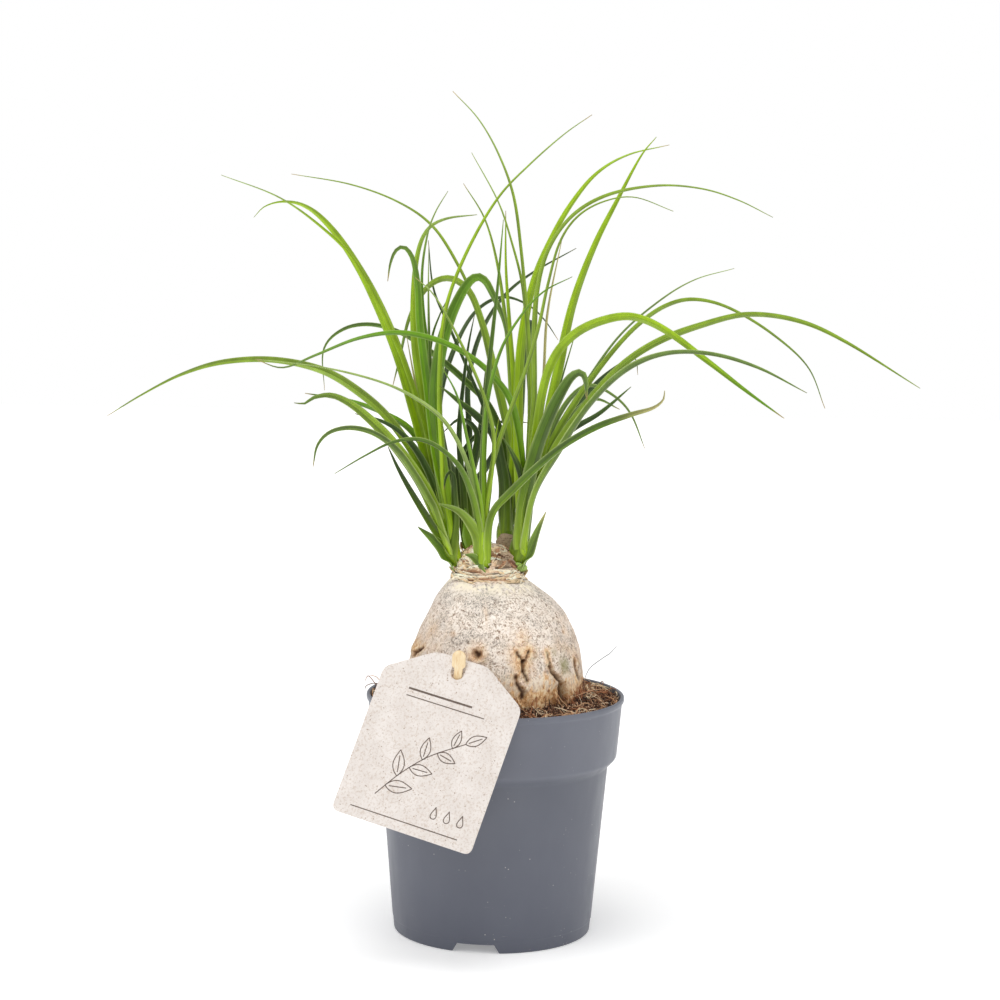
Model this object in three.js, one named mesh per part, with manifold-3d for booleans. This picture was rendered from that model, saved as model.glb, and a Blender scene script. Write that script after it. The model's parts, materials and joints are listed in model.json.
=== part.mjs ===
// Potted ponytail palm: a woody bulb with five leafy shoots, in a round nursery pot, with a label on a stake.
// Millimetres, +Z up. The origin is on the floor under the middle of the pot, and -Y is the front.
import * as THREE from 'three';
import { mergeVertices } from 'three/addons/utils/BufferGeometryUtils.js';
import Module from 'manifold-3d';

const wasm = await Module();
wasm.setup();
const radians = THREE.MathUtils.degToRad;

// ---------- driving dimensions ----------
const GAP = 0.3; // clearance between neighbours that touch
const SIDES = 48; // facets round the pot, the soil and the bulb

const POT = { height: 111.4, rimRadius: 60, footRadius: 46, wall: 1.2, floorUnder: 4.4, floorTop: 6 };
POT.shoulder = { z: 79, radius: 53 };
POT.band = { z: 83.2, radius: 57 };
const NOTCH = { count: 3, wide: 23, narrow: 17, high: 4.2, first: -9, from: 36, deep: 14 };
const DRAIN = { count: 6, radius: 3.5, at: 33 };

const SOIL = { front: 107.6, back: 110.6, bump: 0.55 };

// The bulb's outline: [height, radius], from its round underside in the soil to the crown of its neck.
const BULB_OUTLINE = [
  [84, 0], [85, 14], [89, 26], [96, 35], [104, 39.6], [112, 41], [120, 41.2], [128, 40.2], [136, 38.2],
  [144, 35], [151, 31.2], [157, 26.8], [162, 21.5], [166, 17.2], [170, 15.4], [174, 13.6], [178, 10.6],
  [181, 6], [182, 0],
];
const NECK_SHIFT = { x: -4.6, from: 148, to: 170 }; // the neck stands a little left of the bulb's middle
// Furrows between the toes: [degrees round from the front to the right, upper end, depth].
const FURROWS = [
  [44, 128, 4], [17, 125, 1.6], [-14, 118, 2.6], [-52, 120, 3.4], [78, 122, 2.4], [112, 126, 3.6],
  [150, 120, 3], [188, 127, 3.8], [224, 121, 2.8], [262, 125, 3.6],
];
const FURROW_HALF_WIDTH = 7; // degrees

const STEM_SIDES = 10;
const STEM_FORM = [0.5, 0.85, 1, 0.97, 0.84, 0.6]; // shares of a stem's radius, from its foot to its throat

const BLADE = { fold: 26, rootThick: 1.7, tipThick: 0.8, tipHalfWidth: 0.4, stepLength: 21, bendWeight: 14 };
BLADE.root = { width: 0.78, until: 0.12 }; // the share of its greatest width that a blade starts with
BLADE.turning = { from: 0.03, until: 0.3 }; // where along its length a blade turns to the front

// Leaf courses are drawn on a front elevation (right, up) and carry a depth, positive to the back. The
// elevation is seen from a real eye point, so a point that is nearer or further moves along its sight line.
const EYE = { away: 1150, high: 335 };
const SIGHT = new THREE.Vector3(0, 1, 0); // the way the front is looked at

const LABEL = { width: 67.5, height: 81.5, topWidth: 24.8, chamfer: 13.5, thick: 0.8, corner: 3.5 };
LABEL.hole = { wide: 6.4, high: 9.6, below: 4.9 };
LABEL.pose = { x: -16.4, y: -50.3, z: 131.4, turn: -15, lean: 23.4, tilt: 13.1 };
const STAKE = { head: 6, neck: 3.6, thick: 1.6, top: 140.5, neckTop: 132.2, bottom: 68, tip: 9 };
STAKE.pose = { lean: 8, tilt: 4, ahead: 0.95 }; // it faces as the card does, just ahead of the card's hole

// ---------- solids ----------
function solidFrom(geometry) {
  const bare = geometry.clone();
  bare.deleteAttribute('normal');
  bare.deleteAttribute('uv');
  const merged = mergeVertices(bare, 1e-4);
  const corners = merged.index.array;
  const kept = [];
  for (let i = 0; i < corners.length; i += 3) {
    const [a, b, c] = [corners[i], corners[i + 1], corners[i + 2]];
    if (a !== b && b !== c && c !== a) kept.push(a, b, c);
  }
  if (signedVolume(merged.attributes.position, kept) < 0) kept.reverse();
  return new wasm.Manifold(new wasm.Mesh({
    numProp: 3,
    vertProperties: merged.attributes.position.array,
    triVerts: new Uint32Array(kept),
  }));
}

function signedVolume(position, corners) {
  const [a, b, c] = [new THREE.Vector3(), new THREE.Vector3(), new THREE.Vector3()];
  let volume = 0;
  for (let i = 0; i < corners.length; i += 3) {
    a.fromBufferAttribute(position, corners[i]);
    b.fromBufferAttribute(position, corners[i + 1]);
    c.fromBufferAttribute(position, corners[i + 2]);
    volume += a.dot(b.cross(c)) / 6;
  }
  return volume;
}

function geometryFrom(solid) {
  const mesh = solid.getMesh();
  const geometry = new THREE.BufferGeometry();
  geometry.setAttribute('position', new THREE.BufferAttribute(mesh.vertProperties, 3));
  geometry.setIndex(new THREE.BufferAttribute(mesh.triVerts, 1));
  geometry.computeVertexNormals();
  return geometry;
}

// The largest body of a union: loose scraps are dropped, and hollows that the union sealed are filled.
function mainBody(solid) {
  return solid.decompose().reduce((best, piece) => (piece.volume() > best.volume() ? piece : best));
}

// A closed form of rings, each a list of points that run counterclockwise seen from its far end. Quads are
// split from every second point, so that a thin blade's two faces are split alike.
function ringForm(rings, splitCap) {
  const count = rings[0].length;
  const positions = rings.flat().flatMap((p) => [p.x, p.y, p.z]);
  const triangles = [];
  for (let row = 0; row + 1 < rings.length; row += 1) {
    for (let i = 0; i < count; i += 1) {
      const a = row * count + i;
      const b = row * count + ((i + 1) % count);
      if (i % 2 === 0) triangles.push(a, b, b + count, a, b + count, a + count);
      else triangles.push(a, b, a + count, b, b + count, a + count);
    }
  }
  const last = (rings.length - 1) * count;
  for (const [a, b, c] of splitCap) {
    triangles.push(a, c, b, last + a, last + b, last + c);
  }
  const geometry = new THREE.BufferGeometry();
  geometry.setAttribute('position', new THREE.Float32BufferAttribute(positions, 3));
  geometry.setIndex(triangles);
  return geometry;
}

function fanCap(count) {
  return Array.from({ length: count - 2 }, (_, i) => [0, i + 1, i + 2]);
}

// A solid of revolution from [radius, height] points, turned so that its axis is +Z.
function turned(profile) {
  const points = profile.map(([radius, height]) => new THREE.Vector2(radius, height));
  return solidFrom(new THREE.LatheGeometry(points, SIDES).rotateX(Math.PI / 2));
}

// A closed form round the Z axis: `at(degrees, row)` gives its points, and its first and last rows are poles.
function roundForm(rows, at) {
  const rings = rows.map((row) => Array.from({ length: SIDES }, (_, i) => at((360 * i) / SIDES, row)));
  return solidFrom(ringForm(rings, []));
}

function smooth(low, high, value) {
  return THREE.MathUtils.smoothstep(value, low, high);
}

// ---------- pot ----------
// The outside radius of the pot's wall at a height.
function potRadius(z) {
  const { shoulder, band } = POT;
  if (z < shoulder.z) return THREE.MathUtils.mapLinear(z, 0, shoulder.z, POT.footRadius, shoulder.radius);
  if (z < band.z) return THREE.MathUtils.mapLinear(z, shoulder.z, band.z, shoulder.radius, band.radius);
  return THREE.MathUtils.mapLinear(z, band.z, POT.height, band.radius, POT.rimRadius - 0.4);
}

function makePot() {
  const { height, rimRadius, footRadius, wall, floorUnder, floorTop, shoulder, band } = POT;
  const footInside = footRadius - 2.4;
  const shell = turned([
    [0, floorUnder], [footInside, floorUnder], [footInside, 0], [footRadius - 0.8, 0], [footRadius, 0.8],
    [shoulder.radius, shoulder.z], [band.radius, band.z], [rimRadius - 0.6, height - 2.4],
    [rimRadius, height - 1.4], [rimRadius - 0.3, height - 0.4], [rimRadius - 1, height],
    [rimRadius - 1.7, height - 0.6], [potRadius(band.z + 1) - wall, band.z + 1],
    [shoulder.radius - wall, shoulder.z + 0.6], [potRadius(floorTop) - wall, floorTop], [0, floorTop],
  ]);
  const cuts = [];
  const trapezoid = new THREE.Shape();
  trapezoid.moveTo(-NOTCH.wide / 2, -1);
  trapezoid.lineTo(NOTCH.wide / 2, -1);
  trapezoid.lineTo(NOTCH.narrow / 2, NOTCH.high);
  trapezoid.lineTo(-NOTCH.narrow / 2, NOTCH.high);
  for (let i = 0; i < NOTCH.count; i += 1) {
    const notch = new THREE.ExtrudeGeometry(trapezoid, { depth: NOTCH.deep, bevelEnabled: false, steps: 1 });
    notch.rotateX(Math.PI / 2);
    notch.translate(0, -NOTCH.from, 0);
    notch.rotateZ(radians(NOTCH.first + (360 * i) / NOTCH.count));
    cuts.push(solidFrom(notch));
  }
  for (let i = 0; i < DRAIN.count; i += 1) {
    const drain = new THREE.CylinderGeometry(DRAIN.radius, DRAIN.radius, 6, 12).rotateX(Math.PI / 2);
    drain.translate(0, -DRAIN.at, (floorUnder + floorTop) / 2);
    drain.rotateZ(radians(NOTCH.first + (360 * i) / DRAIN.count));
    cuts.push(solidFrom(drain));
  }
  return cuts.reduce((pot, cut) => pot.subtract(cut), shell);
}

// ---------- bulb ----------
// The bulb's surface at an angle (degrees round from the front to the right) and a point of its outline.
function bulbPoint(angle, [z, outline]) {
  const turn = radians(angle);
  const low = 1 - smooth(104, 150, z);
  let radius = outline * (1 + 0.02 * Math.sin(2 * turn + 0.7) + 0.012 * Math.sin(3 * turn + 2.1));
  for (const [middle, top, depth] of FURROWS) {
    const away = THREE.MathUtils.euclideanModulo(angle - middle + 180, 360) - 180;
    const across = Math.exp(-((away / FURROW_HALF_WIDTH) ** 2));
    radius -= depth * across * (1 - smooth(top - 18, top, z)) * (outline / 41);
  }
  radius += 0.5 * low * Math.sin(7 * turn + 1) * (outline / 41);
  const shift = NECK_SHIFT.x * smooth(NECK_SHIFT.from, NECK_SHIFT.to, z);
  return new THREE.Vector3(shift + radius * Math.sin(turn), -radius * Math.cos(turn), z);
}

// With `grow` it is the hollow that the bulb sits in: its outline moved out square to itself.
function makeBulb(grow = 0) {
  const grown = BULB_OUTLINE.map(([z, radius], i) => {
    const [zBefore, before] = BULB_OUTLINE[Math.max(i - 1, 0)];
    const [zAfter, after] = BULB_OUTLINE[Math.min(i + 1, BULB_OUTLINE.length - 1)];
    const length = Math.hypot(zAfter - zBefore, after - before);
    const wider = radius > 0 ? (grow * (zAfter - zBefore)) / length : 0;
    return [z - (grow * (after - before)) / length, radius + wider];
  });
  return roundForm(grown, bulbPoint);
}

// ---------- soil ----------
// The soil's surface: low at the front, nearly level with the rim at the back, and a little uneven.
function soilHeight(x, y) {
  const level = THREE.MathUtils.mapLinear(y, -POT.rimRadius, POT.rimRadius, SOIL.front, SOIL.back);
  return level + SOIL.bump * (Math.sin(x / 5.1 + 1) * Math.cos(y / 6.3) + Math.sin((x - y) / 3.7));
}

function makeSoil() {
  const inside = (z) => potRadius(z) - POT.wall - GAP;
  const { shoulder, band, floorTop } = POT;
  const rows = [
    ['side', 0, floorTop + GAP], ['side', inside(floorTop) - 0.2, floorTop + GAP],
    ['side', shoulder.radius - POT.wall - GAP - 0.2, shoulder.z + 0.4],
    ['side', inside(band.z + 1) - 0.3, band.z + 2.2],
    ['top', POT.rimRadius - 2.9], ['top', 55], ['top', 50], ['top', 45], ['top', 40], ['top', 33], ['top', 0],
  ];
  return roundForm(rows, (angle, [kind, radius, height]) => {
    const x = radius * Math.sin(radians(angle));
    const y = -radius * Math.cos(radians(angle));
    return new THREE.Vector3(x, y, kind === 'side' ? height : soilHeight(x, y));
  });
}

// ---------- shoots ----------
// foot, collar and throat are [right, up, depth] on the front elevation; radius is the stem's at its collar.
const STEMS = {
  left: { foot: [-13.5, 162, -2], collar: [-20.5, 177, -3], throat: [-24.5, 196, -3], radius: 4.4 },
  front: { foot: [-5, 161, -9], collar: [-6.2, 174, -12.5], throat: [-6.8, 192, -14], radius: 3.5 },
  right: { foot: [6.5, 162, -1], collar: [9.8, 177, -2], throat: [12.2, 196, -2], radius: 4.7 },
  back_left: { foot: [-9, 165, 7.5], collar: [-13.6, 182, 9.5], throat: [-15.5, 198, 11], radius: 3.8 },
  back_right: { foot: [1.6, 166, 8], collar: [3.6, 184, 9.5], throat: [4.8, 200, 10.5], radius: 3.9 },
};

// A leaf: its greatest width, the depth that its tip reaches, and its course from low on the stem to the tip.
// A greater taper keeps the width for longer, and `shown` is how far the blade turns its face to the front.
function leaf({ wide, reach, taper = 1.5, shown = 0.6 }, ...course) {
  return { wide, reach, taper, shown, course };
}

const LEAVES = {
  left: [
    leaf({ wide: 5.4, reach: 38, taper: 1.7 }, [-29, 197], [-38, 219], [-50, 237], [-64, 250], [-82, 260.5],
      [-105, 265], [-128, 263.5], [-147, 257.5], [-165, 248], [-181, 238]),
    leaf({ wide: 8.8, reach: 46 }, [-27, 195], [-33, 218], [-38.5, 240], [-48, 270], [-60, 297], [-72, 317],
      [-83, 330], [-92, 336], [-101, 337.3], [-109, 335], [-114, 330]),
    leaf({ wide: 4.2, reach: 12, taper: 1 }, [-26, 202], [-33, 230], [-42, 258], [-53.5, 285], [-68, 311],
      [-83, 326], [-103, 339.5], [-129, 349]),
    leaf({ wide: 5, reach: -8, taper: 3, shown: 0.8 }, [-25, 200], [-30, 225], [-34, 255], [-37.5, 282],
      [-38.8, 300], [-41, 312], [-45, 317.6], [-49, 316], [-51.4, 310], [-52.5, 302]),
    leaf({ wide: 7.2, reach: 35, taper: 1.3 }, [-27, 205], [-34, 238], [-39.5, 270], [-40.7, 296],
      [-39, 315], [-34.5, 326], [-26, 331], [-12, 333]),
    leaf({ wide: 4.6, reach: 8, taper: 1.1 }, [-24, 205], [-29, 235], [-34.5, 272], [-37, 302], [-35, 322],
      [-31.3, 333.5], [-25.5, 343.5]),
    leaf({ wide: 3, reach: -3 }, [-24.5, 205], [-29, 232], [-32.5, 262], [-33.8, 292], [-34, 320]),
    leaf({ wide: 7.8, reach: -12, taper: 2.6, shown: 0.75 }, [-24.5, 205], [-28.5, 228], [-30, 250],
      [-28, 270], [-23.5, 286], [-17.5, 299], [-12.5, 304.4], [-8, 303], [-4, 296], [0.5, 286], [3, 274]),
    leaf({ wide: 6.8, reach: -32, taper: 2.2, shown: 0.85 }, [-27.5, 190], [-33, 204], [-41, 217],
      [-51, 229.5], [-60, 238.5], [-69, 245.5], [-78, 249.3], [-86, 248], [-90, 245.3], [-95, 245.5]),
    leaf({ wide: 4, reach: 27, taper: 2.2, shown: 0.8 }, [-27, 205], [-33, 222], [-42, 234.5], [-54, 241.5],
      [-70, 247], [-90, 250]),
    leaf({ wide: 4.4, reach: 3, taper: 2.2, shown: 0.8 }, [-28, 202], [-35, 219], [-44, 231], [-54, 237.5],
      [-67, 241]),
    leaf({ wide: 3.8, reach: -62, taper: 2.6, shown: 0.7 }, [-27, 189], [-32, 201], [-39, 213], [-47, 224],
      [-57, 231.5], [-68, 234.3], [-78, 232.3], [-84, 226], [-86, 216]),
    leaf({ wide: 4.2, reach: -16, taper: 2, shown: 0.8 }, [-25, 182], [-31, 190], [-39, 202.5],
      [-46.5, 215.5], [-51.5, 226]),
    leaf({ wide: 6.6, reach: -7, shown: 0.9 }, [-24.5, 178.5], [-30, 182.5], [-37, 189.5]),
    leaf({ wide: 3.4, reach: -32, taper: 1 }, [-24.5, 200], [-26.5, 225], [-28, 250], [-27.3, 278],
      [-23.5, 298], [-14, 321], [-2, 341.5], [12, 356.5], [27, 370], [39.5, 379]),
    leaf({ wide: 3.8, reach: 12 }, [-24, 200], [-29, 228], [-33, 258], [-32, 276], [-28.5, 287],
      [-25, 294.5]),
    leaf({ wide: 3.8, reach: 103 }, [-24, 205], [-28, 232], [-27, 252], [-22, 270], [-14.5, 285.5],
      [-6, 293.5], [3, 295.5], [13, 291.5], [20, 285], [26, 276.5]),
    leaf({ wide: 2.4, reach: 14 }, [-26, 205], [-33, 230], [-39, 254], [-43.5, 277]),
    leaf({ wide: 4.6, reach: -10, taper: 2.2 }, [-20.3, 192], [-20.6, 203], [-21, 212], [-22.6, 215],
      [-24.6, 212], [-25.4, 206.5]),
    leaf({ wide: 6.5, reach: 119 }, [-23, 205], [-29, 238], [-35, 275], [-38, 295], [-38.5, 285],
      [-37.5, 262]),
  ],
  front: [
    leaf({ wide: 4, reach: -78 }, [-9, 187], [-12, 202], [-18, 216], [-27, 225], [-37, 229.3], [-49, 228],
      [-62, 221.5], [-76, 213]),
    leaf({ wide: 2.7, reach: -86, taper: 1.3 }, [-8.5, 192], [-12, 209], [-18, 226], [-27, 239.5],
      [-41, 249.5], [-58, 256.5], [-84, 262.3], [-113, 265.3]),
    leaf({ wide: 2.8, reach: -51 }, [-8, 196], [-11.5, 214], [-15.5, 232], [-20, 250], [-27, 263]),
    leaf({ wide: 4.2, reach: -30, taper: 1.2 }, [-7, 195], [-7.6, 218], [-6.8, 240], [-6, 258], [-4, 280],
      [-2, 302], [0, 331]),
    leaf({ wide: 3, reach: -62, taper: 1 }, [-5.5, 195], [-4, 212], [-0.5, 228], [6, 247], [12, 264],
      [17, 282], [21, 302], [26, 321], [34, 333], [46, 340], [60, 342], [77.5, 336]),
    leaf({ wide: 2.8, reach: -49 }, [-6.5, 200], [-7, 228], [-5.5, 250], [0, 271.5], [9, 287.5],
      [19, 298.5], [32, 305.5]),
    leaf({ wide: 3.8, reach: -84, taper: 4, shown: 0.8 }, [-4, 189], [-1.5, 197.5], [5, 205], [17, 217],
      [30, 228], [45, 236.8], [60, 242.5], [70, 245.7], [74.8, 249.5], [75.5, 254]),
    leaf({ wide: 7, reach: -30, taper: 1.8, shown: 0.9 }, [-8.5, 182.5], [-12.5, 190], [-18.5, 196.5],
      [-28, 200]),
    leaf({ wide: 4, reach: -19 }, [-8, 173.5], [-11, 175.3], [-14, 175.8]),
    leaf({ wide: 2.6, reach: -49 }, [-6, 198], [-3.5, 216], [-3, 232], [-7, 248], [-14, 265], [-24, 284.5],
      [-32, 297], [-40, 304]),
    leaf({ wide: 4.6, reach: -14.5 }, [-5.5, 192], [-4, 208], [-2.6, 224], [-0.5, 240]),
  ],
  right: [
    leaf({ wide: 4.6, reach: 8, taper: 0.9 }, [12.3, 197], [13.2, 222], [13.6, 248], [12.6, 270],
      [10.8, 292], [8.3, 316], [4.5, 341], [-2.5, 360], [-12, 376], [-24, 388.5]),
    leaf({ wide: 3.2, reach: 32, taper: 0.9 }, [12.3, 200], [13.6, 226], [13.4, 252], [11.8, 277],
      [9.2, 301], [4.2, 320], [-2.5, 339], [-15, 361]),
    leaf({ wide: 6.8, reach: 20, taper: 1.3 }, [11.2, 196], [9.6, 220], [8.6, 244], [8.9, 266], [11, 286],
      [15.5, 306], [22.5, 323], [31, 338.5], [42, 352.3], [56, 361], [75, 366]),
    leaf({ wide: 4.6, reach: -43, taper: 1.1 }, [12.8, 200], [14.6, 228], [16, 254], [15.4, 278],
      [16.5, 300], [21.5, 318.5], [32, 333.5], [48, 343], [70, 347.4], [90, 346.4], [107, 341.5],
      [123, 334]),
    leaf({ wide: 6.8, reach: 12, taper: 1.4, shown: 0.8 }, [13, 193], [17, 212], [21.5, 236], [26.5, 263],
      [32.5, 293], [41.5, 319], [52, 341], [62, 360.5], [69, 369.5]),
    leaf({ wide: 4.9, reach: -62, taper: 2.8, shown: 0.85 }, [12.6, 199], [16, 224], [19.5, 252],
      [24.5, 268], [33.5, 279], [46, 285.5], [60, 287.6], [75, 281.8], [95, 267.8], [113, 254.5],
      [131, 242]),
    leaf({ wide: 4.8, reach: 46, taper: 0.9, shown: 0.8 }, [15.5, 205], [24, 229], [36, 250], [49, 268.5],
      [62, 283.3], [75, 292.8], [88, 296], [104, 292.4], [124, 281], [141, 266], [149.5, 247]),
    leaf({ wide: 2, reach: 73 }, [15, 206], [24, 231], [38, 255], [54, 278.5], [72, 295], [88, 305],
      [106, 310.5]),
    leaf({ wide: 5.2, reach: -36, shown: 0.7 }, [16, 203], [25, 224.5], [38, 244.5], [54, 263.4],
      [71, 275.7], [92, 284.3], [113, 289.5], [136, 287], [158, 277.8], [193, 257]),
    leaf({ wide: 4, reach: -119, taper: 2, shown: 0.7 }, [16.5, 204], [27, 224.5], [41, 246.5], [57, 262.8],
      [75, 270.8], [96, 271.2], [118, 265.3], [141, 254]),
    leaf({ wide: 4.6, reach: 30, taper: 2.2, shown: 0.8 }, [13.5, 200], [20, 217.5], [31, 233.3],
      [46, 243.2], [60, 255.5]),
    leaf({ wide: 3.6, reach: 59, taper: 2 }, [14.3, 204], [21, 227], [30, 246.5], [40, 255.6], [51, 251.8],
      [60, 243], [67, 227]),
    leaf({ wide: 3.6, reach: 43, taper: 2.6, shown: 0.8 }, [14.3, 203], [24, 227], [34.5, 243.5],
      [44, 249.5], [55, 245]),
    leaf({ wide: 7.6, reach: -35, taper: 3.5, shown: 0.8 }, [12.2, 200], [17, 224], [23.5, 243],
      [30.5, 257], [35.6, 261.6], [38.8, 259], [39.8, 249]),
    leaf({ wide: 5.6, reach: -8 }, [14.5, 181], [18, 189.5], [22, 197]),
    leaf({ wide: 4.3, reach: -40, taper: 2 }, [10.4, 197], [10.2, 220], [5.5, 245], [-3, 258.3], [-16, 269],
      [-31, 275.7], [-48, 278.4], [-66, 275.4], [-85, 267.6], [-100, 261.6], [-112, 264.8]),
    leaf({ wide: 7.4, reach: -12, shown: 0.9 }, [11.6, 188], [12.4, 200], [10.4, 213], [5.8, 224],
      [0.8, 232]),
    leaf({ wide: 2.4, reach: 10 }, [13.6, 204], [17.5, 232], [19.8, 260], [21, 289], [27, 323]),
    leaf({ wide: 2.6, reach: -8 }, [14.4, 205], [21.5, 233], [28, 258], [34, 280]),
    leaf({ wide: 6.5, reach: 119 }, [13.5, 203], [15, 232], [14.5, 262], [13.5, 285], [13.8, 275],
      [14.5, 255]),
  ],
  back_left: [
    leaf({ wide: 3.8, reach: 16 }, [-16.5, 205], [-18.8, 232], [-17.2, 256], [-15.2, 273], [-12.5, 287.5]),
    leaf({ wide: 3.6, reach: 89 }, [-15, 205], [-14, 230], [-15.2, 253], [-12.5, 270], [-7.5, 283.5],
      [1, 296.3], [13, 306.5], [33.5, 318.5]),
    leaf({ wide: 5, reach: 32, taper: 2.2 }, [-14.5, 205], [-11.5, 222], [-10.4, 232], [-14, 237.6],
      [-19.5, 238.8], [-26, 233]),
    leaf({ wide: 4.2, reach: 36 }, [-17.5, 204], [-18.7, 218], [-13.5, 229], [-4, 236.5], [4, 238.8],
      [13.5, 238]),
    leaf({ wide: 4.6, reach: 108 }, [-14.5, 205], [-10, 226], [-7.5, 246], [-6.3, 262], [-6, 254],
      [-6.6, 238]),
    leaf({ wide: 5, reach: 105 }, [-13, 204], [-6, 217], [0, 227], [6, 233], [10, 229], [12, 217]),
    leaf({ wide: 6.5, reach: 119 }, [-17, 204], [-26, 222], [-36, 241], [-44, 258], [-49.5, 270],
      [-46, 262]),
  ],
  back_right: [
    leaf({ wide: 5.4, reach: 35, taper: 2.2 }, [4.6, 206], [4.4, 228], [0.5, 246], [-4.6, 266], [-9.5, 284],
      [-15.5, 298], [-24.5, 303.6], [-34, 299.5], [-42, 286], [-46.5, 267], [-49.6, 254]),
    leaf({ wide: 3.2, reach: 70, taper: 1 }, [4.4, 207], [4.2, 230], [-0.5, 252], [-6, 273], [-12, 291.5],
      [-20, 309], [-32, 327], [-48, 338], [-70, 345.7], [-97, 350]),
    leaf({ wide: 4.2, reach: 59, taper: 2 }, [4, 205], [1.5, 228], [-5, 244.8], [-15, 255.5], [-29, 267.3],
      [-45, 277.8], [-60, 282], [-73, 279.4], [-81.5, 270], [-81, 251.5]),
    leaf({ wide: 6.2, reach: -13, taper: 2.6, shown: 0.85 }, [2.4, 206], [0.2, 220], [-3, 232.5],
      [-11, 241], [-19.5, 247.8], [-28, 254.5]),
    leaf({ wide: 4.4, reach: 14, taper: 1.1 }, [5.4, 207], [6.8, 232], [6, 257], [3.6, 284], [1.5, 310],
      [1, 335]),
    leaf({ wide: 4, reach: 54, taper: 1 }, [5, 207], [5.8, 232], [4.4, 258], [1.8, 284], [-2.3, 310],
      [-8.5, 331], [-18.5, 347]),
    leaf({ wide: 2.8, reach: 35 }, [4, 206], [0.5, 224], [-7, 243], [-15, 261.5], [-24, 281.5],
      [-31.5, 299], [-34.2, 321]),
    leaf({ wide: 6.4, reach: 7 }, [3.2, 198], [2.4, 209], [1, 218], [0, 225]),
    leaf({ wide: 5, reach: 7 }, [4.6, 199], [5, 209], [3.8, 216.5], [1.5, 223.5]),
    leaf({ wide: 6.5, reach: 111 }, [5.6, 206], [8.5, 235], [10, 262], [11, 278], [12, 268], [13, 248]),
    leaf({ wide: 6, reach: 113 }, [5.8, 205], [14, 217], [25, 233], [38, 250], [50, 262], [61, 268.5],
      [63, 261]),
  ],
};

function fromElevation([right, up], depth) {
  const spread = 1 + depth / EYE.away;
  return new THREE.Vector3(right * spread, depth, EYE.high + (up - EYE.high) * spread);
}

// The leaf's middle line in space, from inside the stem to the tip, and the way that it leans out.
function leafPath(stem, { reach, course }) {
  const drawn = [stem.collar.slice(0, 2), ...course];
  const run = [0];
  for (let i = 1; i < drawn.length; i += 1) {
    run.push(run[i - 1] + Math.hypot(drawn[i][0] - drawn[i - 1][0], drawn[i][1] - drawn[i - 1][1]));
  }
  const points = drawn.map((point, i) => {
    const share = (run[i] / run.at(-1)) ** 1.3;
    return fromElevation(point, THREE.MathUtils.lerp(stem.collar[2], reach, share));
  });
  const middle = new THREE.Vector3();
  points.slice(1).forEach((point) => middle.addScaledVector(point, 1 / course.length));
  const out = middle.sub(points[0]).setZ(0).normalize();
  points[0].addScaledVector(out, 0.45 * stem.radius);
  return { curve: new THREE.CatmullRomCurve3(points, false, 'catmullrom', 0.5), out };
}

// Points along a curve, closer together where it bends.
function stations(curve) {
  const fine = curve.getPoints(160);
  const measure = [0];
  for (let i = 1; i < fine.length; i += 1) {
    const step = fine[i].clone().sub(fine[i - 1]);
    const before = i > 1 ? fine[i - 1].clone().sub(fine[i - 2]) : step;
    measure.push(measure[i - 1] + step.length() + BLADE.bendWeight * step.angleTo(before));
  }
  const total = measure.at(-1);
  const count = Math.max(4, Math.round(total / BLADE.stepLength));
  const picked = [];
  let from = 0;
  for (let i = 0; i <= count; i += 1) {
    const goal = (total * i) / count;
    while (from < fine.length - 2 && measure[from + 1] < goal) from += 1;
    const part = (goal - measure[from]) / (measure[from + 1] - measure[from]);
    picked.push(fine[from].clone().lerp(fine[from + 1], Math.min(part, 1)));
  }
  return picked;
}

// The sideways direction of a blade that shows its whole face to the front, near the one before it.
function faceFront(along, side, before) {
  const across = along.clone().cross(SIGHT);
  if (across.length() < 0.2) return before ?? side.clone();
  across.normalize();
  const flipped = before ? across.dot(before) < 0 : across.dot(side) < -0.5;
  return flipped ? across.negate() : across;
}

// A blade folded along its keel: two edges, an upper and a lower middle line, and a blunt tip.
function makeBlade(stem, shape) {
  const { fold, root, turning, rootThick, tipThick, tipHalfWidth } = BLADE;
  const { curve, out } = leafPath(stem, shape);
  const path = stations(curve);
  const lengths = [0];
  for (let i = 1; i < path.length; i += 1) lengths.push(lengths[i - 1] + path[i].distanceTo(path[i - 1]));
  const natural = new THREE.Vector3(-out.y, out.x, 0);
  let facing = null;
  const rings = path.map((point, i) => {
    const along = path[Math.min(i + 1, path.length - 1)].clone().sub(path[Math.max(i - 1, 0)]).normalize();
    natural.addScaledVector(along, -natural.dot(along)).normalize();
    facing = faceFront(along, natural, facing);
    const share = lengths[i] / lengths.at(-1);
    const side = natural.clone().lerp(facing, shape.shown * smooth(turning.from, turning.until, share));
    side.addScaledVector(along, -side.dot(along)).normalize();
    const face = along.clone().cross(side);
    const widens = THREE.MathUtils.lerp(root.width, 1, Math.min(1, share / root.until));
    const narrows = (1 - share ** shape.taper) ** 0.9;
    const half = (shape.wide / 2) * widens * narrows + tipHalfWidth;
    const thick = THREE.MathUtils.lerp(rootThick, tipThick, Math.sqrt(share)) / 2;
    const spread = half * Math.cos(radians(fold));
    const rise = half * Math.sin(radians(fold));
    return [
      point.clone().addScaledVector(side, spread).addScaledVector(face, rise),
      point.clone().addScaledVector(face, thick),
      point.clone().addScaledVector(side, -spread).addScaledVector(face, rise),
      point.clone().addScaledVector(face, -thick),
    ];
  });
  return solidFrom(ringForm(rings, [[0, 1, 3], [1, 2, 3]]));
}

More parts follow.
